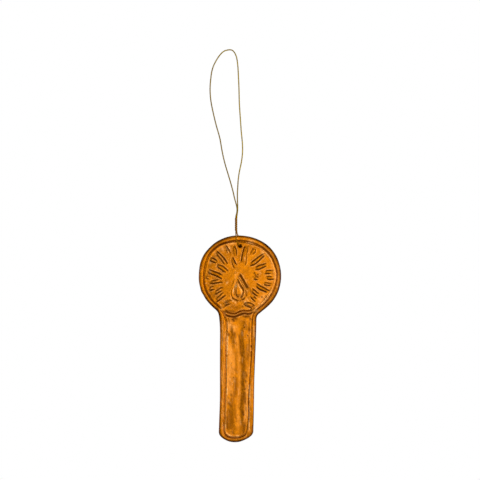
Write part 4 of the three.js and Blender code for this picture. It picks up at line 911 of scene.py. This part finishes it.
def punched_scoop():
    """The metal of the punched hole, still held by the lower part of its edge and pushed back as a small scoop."""
    cx, cz = HOLE_CENTRE
    across, up = 44, 12
    tip_y, tip_z, gauge = 1.22, -95.10, 0.17
    front_grid = np.zeros((across + 1, up + 1, 3))
    for i in range(across + 1):
        a = math.radians(24 - 228 * i / across)
        ca, sa = math.cos(a), math.sin(a)
        start = np.array([cx + (HOLE_RADIUS + 0.03) * ca, 0.02, cz + (HOLE_RADIUS + 0.03) * sa])
        tip = np.array([cx + 0.72 * ca, tip_y + 0.05 * sa, tip_z + 0.10 * sa])
        turn = np.array([cx + 0.95 * ca, 0.95 + 0.10 * abs(ca), cz + 0.80 * sa + 0.15])
        for j in range(up + 1):
            t = j / up
            front_grid[i, j] = (1 - t) ** 2 * start + 2 * t * (1 - t) * turn + t * t * tip
    du = np.gradient(front_grid, axis=0)
    dv = np.gradient(front_grid, axis=1)
    normal = np.cross(du, dv)
    normal /= np.linalg.norm(normal, axis=2)[..., None]
    middle = np.array([cx, 0.35, cz])
    flip = np.sign(((front_grid - middle) * normal).sum(2))
    normal *= np.where(flip == 0, 1, flip)[..., None]
    back_grid = front_grid + normal * gauge
    back_grid[:, 0, 1] = np.maximum(back_grid[:, 0, 1], 0.02)
    verts = np.vstack([front_grid.reshape(-1, 3), back_grid.reshape(-1, 3)])
    n = (across + 1) * (up + 1)
    at = lambda i, j: i * (up + 1) + j
    faces, slots = [], []
    for i in range(across):
        for j in range(up):
            q = (at(i, j), at(i, j + 1), at(i + 1, j + 1), at(i + 1, j))
            faces.append(q)
            slots.append(0)
            faces.append(tuple(n + v for v in reversed(q)))
            slots.append(1)
    border = [at(i, 0) for i in range(across + 1)] + [at(across, j) for j in range(1, up + 1)]
    border += [at(i, up) for i in range(across - 1, -1, -1)] + [at(0, j) for j in range(up - 1, 0, -1)]
    for a, b in zip(border, border[1:] + border[:1]):
        faces.append((a, b, b + n, a + n))
        slots.append(2)
    mesh = bpy.data.meshes.new("scoop")
    mesh.from_pydata((verts * 0.001).tolist(), [], faces)
    mesh.polygons.foreach_set("material_index", slots)
    mesh.polygons.foreach_set("use_smooth", [True] * len(mesh.polygons))
    # the scoop's face seen through the hole is painted dark as shade
    inner = [1.0] * n + [0.0] * n
    for name, values in (("pool_and_shade", inner), ("rim", [0.0] * 2 * n), ("side", [1 - v for v in inner]), ("rub_and_highlight", [0.0] * 2 * n), ("candle", [0.0] * 2 * n)):
        mesh.attributes.new(name, "FLOAT", "POINT").data.foreach_set("value", np.array(values, np.float32))
    return mesh


# ---------------------------------------------------------------- the wire
def strand(radius, turn, z0, z1, step):
    steps = max(2, round(abs(z1 - z0) / step))
    z = np.linspace(z0, z1, steps + 1)
    angle = turn + (TWIST_TOP_Z - z) * TWIST_PER_MM
    return np.stack([TWIST_AXIS_X - radius * np.cos(angle), -radius * np.sin(angle), z], 1)


def wire_path():
    first = math.radians(60)
    step = 0.16
    down = strand(STRAND_OFFSET, first, TWIST_TOP_Z, TWIST_BOTTOM_Z, step)
    up = strand(STRAND_OFFSET, first + math.radians(120), TWIST_BOTTOM_Z, TWIST_TOP_Z, step)
    tuck = strand(STRAND_OFFSET, first - math.radians(120), TWIST_TOP_Z, TUCK_END_Z, step)
    eye = spline(np.vstack([down[-3], down[-1], np.array(EYE), up[0], up[2]]), 0.14)
    loop = spline(np.vstack([
        up[-3], up[-1], np.array(RIGHT_JOIN), np.array([(x, 0.0, z) for x, z in LOOP]),
        np.array(LEFT_JOIN), tuck[0], tuck[2],
    ]), 0.42)
    whole = np.vstack([down[:-3], eye, up[3:-3], loop, tuck[3:]])
    keep = [0]
    for i in range(1, len(whole)):
        if np.linalg.norm(whole[i] - whole[keep[-1]]) > 0.08:
            keep.append(i)
    return whole[keep]


def swept(path, radius, sides):
    """A round wire along a path, with cut ends: vertices, faces and the path share of each vertex."""
    tangent = np.gradient(path, axis=0)
    tangent /= np.linalg.norm(tangent, axis=1)[:, None]
    normal = np.cross(tangent[0], (0.3, 1.0, 0.1))
    normal /= np.linalg.norm(normal)
    verts, faces, share = [], [], []
    n = len(path)
    extra = []
    for i in range(n):
        if i:
            axis = np.cross(tangent[i - 1], tangent[i])
            s = np.linalg.norm(axis)
            if s > 1e-9:
                axis /= s
                ang = math.asin(min(1.0, s))
                normal = normal * math.cos(ang) + np.cross(axis, normal) * math.sin(ang) + axis * (axis @ normal) * (1 - math.cos(ang))
        normal = normal - tangent[i] * (tangent[i] @ normal)
        normal /= np.linalg.norm(normal)
        side = np.cross(tangent[i], normal)
        extra.append((normal.copy(), side.copy()))
    rings = [(0, 0.0, 0.80, 0.0), (0, 0.035, 1.0, 0.0)]
    rings += [(i, 0.0, 1.0, i / (n - 1)) for i in range(1, n - 1)]
    rings += [(n - 1, -0.035, 1.0, 1.0), (n - 1, 0.0, 0.80, 1.0)]
    for i, shift, scale, s in rings:
        nn, ss = extra[i]
        centre = path[i] + tangent[i] * shift
        for k in range(sides):
            a = 2 * math.pi * k / sides
            verts.append(centre + radius * scale * (nn * math.cos(a) + ss * math.sin(a)))
            share.append(s)
    for r in range(len(rings) - 1):
        for k in range(sides):
            j = (k + 1) % sides
            faces.append((r * sides + k, r * sides + j, (r + 1) * sides + j, (r + 1) * sides + k))
    faces.append(tuple(reversed(range(sides))))
    faces.append(tuple(range((len(rings) - 1) * sides, len(rings) * sides)))
    return np.array(verts), faces, np.array(share)


def wire_mesh():
    path = wire_path()
    sides = 16
    verts, faces, share = swept(path, WIRE_DIAMETER / 2, sides)
    mesh = bpy.data.meshes.new("brass_wire")
    mesh.from_pydata((verts * 0.001).tolist(), [], faces)
    mesh.polygons.foreach_set("use_smooth", [len(p.vertices) == 4 for p in mesh.polygons])
    # tarnish gathers where the strands lie against each other and on the bends of the twist
    z = verts[:, 2]
    x = verts[:, 0]
    dark = smoothstep((-79.0 - z) / 4.0)
    mesh.attributes.new("tarnish", "FLOAT", "POINT").data.foreach_set("value", dark.astype(np.float32))
    # the left leg, and both legs just above the twist, are darker
    darker_legs = 0.60 * smoothstep((2.5 - x) / 1.5) * smoothstep((-3.0 - z) / 8.0)
    darker_legs = np.maximum(darker_legs, 0.60 * smoothstep((-58.0 - z) / 6.0)) * smoothstep((z + 81.5) / 3.0)
    mesh.attributes.new("darker_legs", "FLOAT", "POINT").data.foreach_set("value", darker_legs.astype(np.float32))
    mesh.attributes.new("along", "FLOAT", "POINT").data.foreach_set("value", share.astype(np.float32))
    return mesh


# ---------------------------------------------------------------- materials
class Graph:
    """A short way to write a node tree."""

    def __init__(self, name):
        self.material = bpy.data.materials.new(name)
        self.material.use_nodes = True
        self.tree = self.material.node_tree
        self.shader = self.tree.nodes["Principled BSDF"] if "Principled BSDF" in self.tree.nodes else None
        if self.shader is None:
            self.tree.nodes.clear()
            out = self.tree.nodes.new("ShaderNodeOutputMaterial")
            self.shader = self.tree.nodes.new("ShaderNodeBsdfPrincipled")
            self.tree.links.new(self.shader.outputs[0], out.inputs[0])

    def node(self, kind, **settings):
        n = self.tree.nodes.new(kind)
        for k, v in settings.items():
            setattr(n, k, v)
        return n

    def link(self, a, b):
        self.tree.links.new(a, b)

    def coords(self):
        return self.node("ShaderNodeTexCoord").outputs["Object"]

    def attribute(self, name):
        return self.node("ShaderNodeAttribute", attribute_name=name).outputs["Fac"]

    def scaled(self, vector, scale):
        n = self.node("ShaderNodeMapping")
        n.inputs["Scale"].default_value = scale
        self.link(vector, n.inputs["Vector"])
        return n.outputs[0]

    def noise(self, vector, scale, detail=3.0, rough=0.55, distortion=0.0):
        n = self.node("ShaderNodeTexNoise")
        n.inputs["Scale"].default_value = scale
        n.inputs["Detail"].default_value = detail
        n.inputs["Roughness"].default_value = rough
        n.inputs["Distortion"].default_value = distortion
        self.link(vector, n.inputs["Vector"])
        return n.outputs["Fac"]

    def ramp(self, value, stops):
        n = self.node("ShaderNodeValToRGB")
        e = n.color_ramp.elements
        while len(e) < len(stops):
            e.new(0.5)
        for item, (at, colour) in zip(e, stops):
            item.position = at
            item.color = (*colour, 1.0) if len(colour) == 3 else colour
        self.link(value, n.inputs[0])
        return n.outputs[0]

    def span(self, value, low, high, to_low, to_high, smooth=True):
        n = self.node("ShaderNodeMapRange", interpolation_type="SMOOTHSTEP" if smooth else "LINEAR")
        for key, v in (("From Min", low), ("From Max", high), ("To Min", to_low), ("To Max", to_high)):
            n.inputs[key].default_value = v
        self.link(value, n.inputs["Value"])
        return n.outputs[0]

    def mix(self, factor, a, b, blend="MIX"):
        n = self.node("ShaderNodeMix", data_type="RGBA", blend_type=blend)
        n.clamp_factor = True
        if isinstance(factor, (int, float)):
            n.inputs[0].default_value = factor
        else:
            self.link(factor, n.inputs[0])
        for socket, v in ((n.inputs[6], a), (n.inputs[7], b)):
            if isinstance(v, tuple):
                socket.default_value = (*v, 1.0)
            else:
                self.link(v, socket)
        return n.outputs[2]

    def maths(self, operation, a, b=None):
        n = self.node("ShaderNodeMath", operation=operation)
        for i, v in enumerate((a, b)):
            if v is None:
                continue
            if isinstance(v, (int, float)):
                n.inputs[i].default_value = v
            else:
                self.link(v, n.inputs[i])
        return n.outputs[0]

    def bump(self, height, distance, strength=1.0, normal=None):
        n = self.node("ShaderNodeBump")
        n.inputs["Strength"].default_value = strength
        n.inputs["Distance"].default_value = distance
        self.link(height, n.inputs["Height"])
        if normal is not None:
            self.link(normal, n.inputs["Normal"])
        return n.outputs[0]


def lacquer():
    g = Graph("amber_lacquer")
    at = g.coords()
    pool_and_shade = g.attribute("pool_and_shade")
    rim = g.attribute("rim")
    rub_and_highlight = g.attribute("rub_and_highlight")
    cloud = g.noise(at, 190, 4.0, 0.6, 0.3)     # thicker and thinner lacquer, 5 mm across
    grain = g.noise(at, 1000, 3.0, 0.6)         # fine mottling, about 1 mm
    streak = g.noise(g.scaled(at, (1.0, 1.0, 0.22)), 420, 3.0, 0.6, 0.4)   # brush marks down the candle
    colour = g.ramp(cloud, [(0.30, (0.477, 0.132, 0.00046)), (0.52, (0.569, 0.164, 0.00077)), (0.74, (0.662, 0.206, 0.00231))])
    colour = g.mix(g.span(grain, 0.35, 0.70, 0.0, 0.30), colour, (0.692, 0.231, 0.00615))
    colour = g.mix(g.span(streak, 0.50, 0.75, 0.0, 0.25), colour, (0.462, 0.125, 0.00046))
    # slight changes of hue, as in any hand-brushed coat
    colour = g.mix(g.span(g.noise(at, 1450, 2.0, 0.5), 0.50, 0.72, 0.0, 0.28), colour, (0.385, 0.142, 0.00077))
    colour = g.mix(g.span(g.noise(g.scaled(at, (1.0, 1.0, 1.1)), 1150, 2.0, 0.5), 0.54, 0.74, 0.0, 0.30), colour, (0.754, 0.262, 0.01538))
    # rubbed thin on the high spots, so that the tin shows through, together with painted highlights on slopes and
    # shoulders that face the light
    thin = g.maths("MULTIPLY", rub_and_highlight, g.span(g.noise(at, 1500, 3.0, 0.6), 0.30, 0.62, 0.45, 1.15))
    colour = g.mix(g.span(thin, 0.0, 1.0, 0.0, 0.85, smooth=False), colour, (1.0, 0.45, 0.11))
    colour = g.mix(g.span(thin, 0.80, 1.30, 0.0, 0.85), colour, (1.0, 0.66, 0.30))
    # long fine scratches down the candle, pale and dark
    candle = g.attribute("candle")
    hair = g.noise(g.scaled(at, (1.0, 1.0, 0.10)), 2300, 2.5, 0.55, 0.8)
    patch = g.noise(g.scaled(at, (1.0, 1.0, 0.5)), 260, 2.0, 0.5)
    pale = g.maths("MULTIPLY", g.maths("MULTIPLY", candle, g.span(hair, 0.55, 0.70, 0.0, 0.40)), g.span(patch, 0.44, 0.60, 0.15, 1.0))
    colour = g.mix(pale, colour, (1.0, 0.44, 0.12))
    brown = g.maths("MULTIPLY", g.maths("MULTIPLY", candle, g.span(hair, 0.30, 0.45, 0.38, 0.0)), g.span(patch, 0.40, 0.56, 1.0, 0.15))
    colour = g.mix(brown, colour, (0.231, 0.062, 0.00154))
    # small pale chips, where the lacquer has come off
    chips = g.maths("MULTIPLY", g.span(g.noise(at, 2100, 2.0, 0.5), 0.64, 0.71, 0.0, 0.80), g.span(g.noise(at, 170, 2.0, 0.5), 0.48, 0.62, 0.0, 1.0))
    colour = g.mix(chips, colour, (1.0, 0.48, 0.16))
    # lacquer pools thick and brown in the pressed lines, dents and hole, and these hollows are darkened further as
    # painted shade
    deep = g.maths("MULTIPLY", pool_and_shade, g.span(g.noise(at, 1300, 2.0, 0.5), 0.25, 0.65, 0.80, 1.0))
    colour = g.mix(g.span(deep, 0.03, 1.0, 0.0, 0.94, smooth=False), colour, (0.065, 0.014, 0.00092))
    # painted shade along the cut edge
    edge = g.maths("MULTIPLY", rim, g.span(g.noise(at, 260, 2.0, 0.5), 0.35, 0.62, 0.80, 1.0))
    colour = g.mix(edge, colour, (0.085, 0.020, 0.00115))
    # specks of dirt under the lacquer
    speck = g.node("ShaderNodeTexVoronoi", feature="F1")
    speck.inputs["Scale"].default_value = 420
    g.link(at, speck.inputs["Vector"])
    spot = g.span(speck.outputs["Distance"], 0.02, 0.16, 1.0, 0.0)
    chosen = g.span(g.noise(at, 120, 1.0, 0.5), 0.55, 0.68, 0.0, 0.70)
    colour = g.mix(g.maths("MULTIPLY", spot, chosen), colour, (0.077, 0.022, 0.00231))
    g.link(colour, g.shader.inputs["Base Color"])
    g.shader.inputs["Metallic"].default_value = 1.0
    rough = g.span(grain, 0.3, 0.7, 0.30, 0.42)
    rough = g.maths("ADD", rough, g.maths("MULTIPLY", pool_and_shade, 0.16))
    g.link(rough, g.shader.inputs["Roughness"])
    g.shader.inputs["Specular Tint"].default_value = (1.0, 0.50, 0.10, 1.0)
    g.shader.inputs["Coat Weight"].default_value = 0.02
    g.shader.inputs["Coat Roughness"].default_value = 0.20
    g.shader.inputs["Coat IOR"].default_value = 1.50
    fine = g.bump(g.noise(at, 1500, 3.0, 0.6), 0.00003, 0.55)
    dents = g.bump(g.noise(at, 520, 2.0, 0.5), 0.00007, 0.5, fine)
    g.link(dents, g.shader.inputs["Normal"])
    return g.material


def bare_tin():
    g = Graph("bare_tin_back")
    at = g.coords()
    cloud = g.noise(at, 130, 4.0, 0.6, 0.6)
    grain = g.noise(g.scaled(at, (1.0, 1.0, 0.12)), 1400, 3.0, 0.6)
    colour = g.ramp(cloud, [(0.30, (0.33, 0.315, 0.29)), (0.55, (0.47, 0.455, 0.425)), (0.78, (0.55, 0.54, 0.51))])
    colour = g.mix(g.span(grain, 0.42, 0.70, 0.0, 0.35), colour, (0.27, 0.255, 0.23))
    rust = g.span(g.noise(at, 240, 5.0, 0.7), 0.61, 0.72, 0.0, 0.65)
    colour = g.mix(rust, colour, (0.162, 0.081, 0.03462))
    g.link(colour, g.shader.inputs["Base Color"])
    g.shader.inputs["Metallic"].default_value = 0.95
    rough = g.maths("ADD", g.span(cloud, 0.3, 0.7, 0.30, 0.44), g.maths("MULTIPLY", rust, 0.3))
    g.link(rough, g.shader.inputs["Roughness"])
    g.link(g.bump(grain, 0.00003, 0.5, g.bump(g.noise(at, 420, 2.0), 0.00006, 0.5)), g.shader.inputs["Normal"])
    return g.material


def cut_edge():
    g = Graph("sheared_edge")
    at = g.coords()
    run = g.noise(at, 700, 3.0, 0.6)
    colour = g.ramp(run, [(0.32, (0.065, 0.020, 0.00462)), (0.55, (0.154, 0.065, 0.01692)), (0.75, (0.262, 0.200, 0.13846))])
    g.link(colour, g.shader.inputs["Base Color"])
    g.shader.inputs["Metallic"].default_value = 0.85
    g.link(g.span(run, 0.3, 0.7, 0.36, 0.55), g.shader.inputs["Roughness"])
    g.link(g.bump(g.noise(at, 2600, 2.0), 0.00004, 0.6), g.shader.inputs["Normal"])
    return g.material


def brass():
    g = Graph("aged_brass")
    at = g.coords()
    tarnish = g.attribute("tarnish")
    cloud = g.noise(at, 260, 4.0, 0.6, 0.3)
    fine = g.noise(at, 1700, 3.0, 0.6)
    colour = g.ramp(cloud, [(0.30, (0.420, 0.275, 0.002)), (0.52, (0.500, 0.345, 0.004)), (0.74, (0.590, 0.430, 0.008))])
    colour = g.mix(g.span(fine, 0.40, 0.70, 0.0, 0.30), colour, (0.300, 0.170, 0.001))
    colour = g.mix(g.attribute("darker_legs"), colour, (0.220, 0.125, 0.001))
    colour = g.mix(tarnish, colour, (0.500, 0.215, 0.001))
    g.link(colour, g.shader.inputs["Base Color"])
    g.shader.inputs["Metallic"].default_value = 0.90
    g.shader.inputs["Specular Tint"].default_value = (0.62, 0.30, 0.01, 1.0)
    g.link(g.maths("ADD", g.span(cloud, 0.3, 0.7, 0.36, 0.48), g.maths("MULTIPLY", tarnish, 0.10)), g.shader.inputs["Roughness"])
    g.link(g.bump(fine, 0.000012, 0.6), g.shader.inputs["Normal"])
    return g.material


def paper(name, colour, glow):
    g = Graph(name)
    tone = g.ramp(g.noise(g.coords(), 60, 3.0), [(0.3, tuple(c * 0.985 for c in colour)), (0.7, colour)])
    g.link(tone, g.shader.inputs["Base Color"])
    g.shader.inputs["Roughness"].default_value = 0.9
    g.shader.inputs["Specular IOR Level"].default_value = 0.1
    g.shader.inputs["Emission Color"].default_value = (1, 1, 1, 1)
    g.shader.inputs["Emission Strength"].default_value = glow
    return g.material


# ---------------------------------------------------------------- pieces
lacquer_material, tin_material, edge_material = lacquer(), bare_tin(), cut_edge()

sheet = bpy.data.objects.new("embossed_tin_sheet", tin_sheet())
bpy.context.scene.collection.objects.link(sheet)
scoop = bpy.data.objects.new("scoop", punched_scoop())
bpy.context.scene.collection.objects.link(scoop)
for obj in (sheet, scoop):
    for m in (lacquer_material, tin_material, edge_material):
        obj.data.materials.append(m)
bpy.ops.object.select_all(action="DESELECT")
scoop.select_set(True)
sheet.select_set(True)
bpy.context.view_layer.objects.active = sheet
bpy.ops.object.join()
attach(sheet, "ornament")
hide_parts("embossed_tin_body")

wire = bpy.data.objects.new("brass_hanging_wire", wire_mesh())
bpy.context.scene.collection.objects.link(wire)
wire.data.materials.append(brass())
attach(wire, "hanger")
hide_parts("hanger_wire")

# ---------------------------------------------------------------- floor, light, camera
floor_mesh = bpy.data.meshes.new("pale_floor")
ring = [(0.45 * math.cos(a), 0.45 * math.sin(a), -0.262) for a in np.linspace(0, 2 * math.pi, 96, endpoint=False)]
floor_mesh.from_pydata([(x + 0.005, y, z) for x, y, z in ring], [], [tuple(range(96))])
floor = bpy.data.objects.new("pale_floor", floor_mesh)
bpy.context.scene.collection.objects.link(floor)
floor.data.materials.append(paper("pale_paper", (0.88, 0.875, 0.865), 0.0))


def area(name, place, aim, size, power, colour=(1, 1, 1), shape="SQUARE", size_y=None):
    light = bpy.data.lights.new(name, "AREA")
    light.shape = "RECTANGLE" if size_y else shape
    light.size = size
    if size_y:
        light.size_y = size_y
    light.energy = power
    light.color = colour
    obj = bpy.data.objects.new(name, light)
    bpy.context.scene.collection.objects.link(obj)
    obj.location = place
    obj.rotation_euler = (Vector(aim) - Vector(place)).to_track_quat("-Z", "Y").to_euler()
    return obj


AIM = (0.005, 0.0, -0.12)
area("right", (0.75, -0.72, -0.04), AIM, 0.45, 2.25)
area("left", (-0.75, -0.72, 0.06), AIM, 0.45, 1.05)
area("front", (0.22, -1.12, -0.20), AIM, 0.75, 3.4)
area("top", (0.10, -0.45, 0.80), AIM, 0.45, 0.60)
area("back", (0.30, 0.90, 0.45), AIM, 0.60, 2.5)

world = bpy.data.worlds.new("studio")
bpy.context.scene.world = world
world.use_nodes = True
tree = world.node_tree
tree.nodes.clear()
out = tree.nodes.new("ShaderNodeOutputWorld")
mixer = tree.nodes.new("ShaderNodeMixShader")
seen = tree.nodes.new("ShaderNodeBackground")
seen.inputs[0].default_value = (1, 1, 1, 1)
seen.inputs[1].default_value = 1.0
lit = tree.nodes.new("ShaderNodeBackground")
lit.inputs[0].default_value = (1.0, 0.99, 0.97, 1)
lit.inputs[1].default_value = 0.165
path = tree.nodes.new("ShaderNodeLightPath")
tree.links.new(path.outputs["Is Camera Ray"], mixer.inputs[0])
tree.links.new(lit.outputs[0], mixer.inputs[1])
tree.links.new(seen.outputs[0], mixer.inputs[2])
tree.links.new(mixer.outputs[0], out.inputs[0])

bpy.context.scene.view_settings.view_transform = "Standard"

camera_data = bpy.data.cameras.new("camera")
camera = bpy.data.objects.new("camera", camera_data)
bpy.context.scene.collection.objects.link(camera)
camera.location = (0.00496, -1.2, -0.09315)
camera.rotation_euler = (math.radians(90), 0, 0)
camera_data.sensor_width = 36.0
camera_data.lens = 36.0 * 1.2 / 0.23582
camera_data.clip_start, camera_data.clip_end = 0.05, 20.0
bpy.context.scene.camera = camera

bpy.context.view_layer.update()
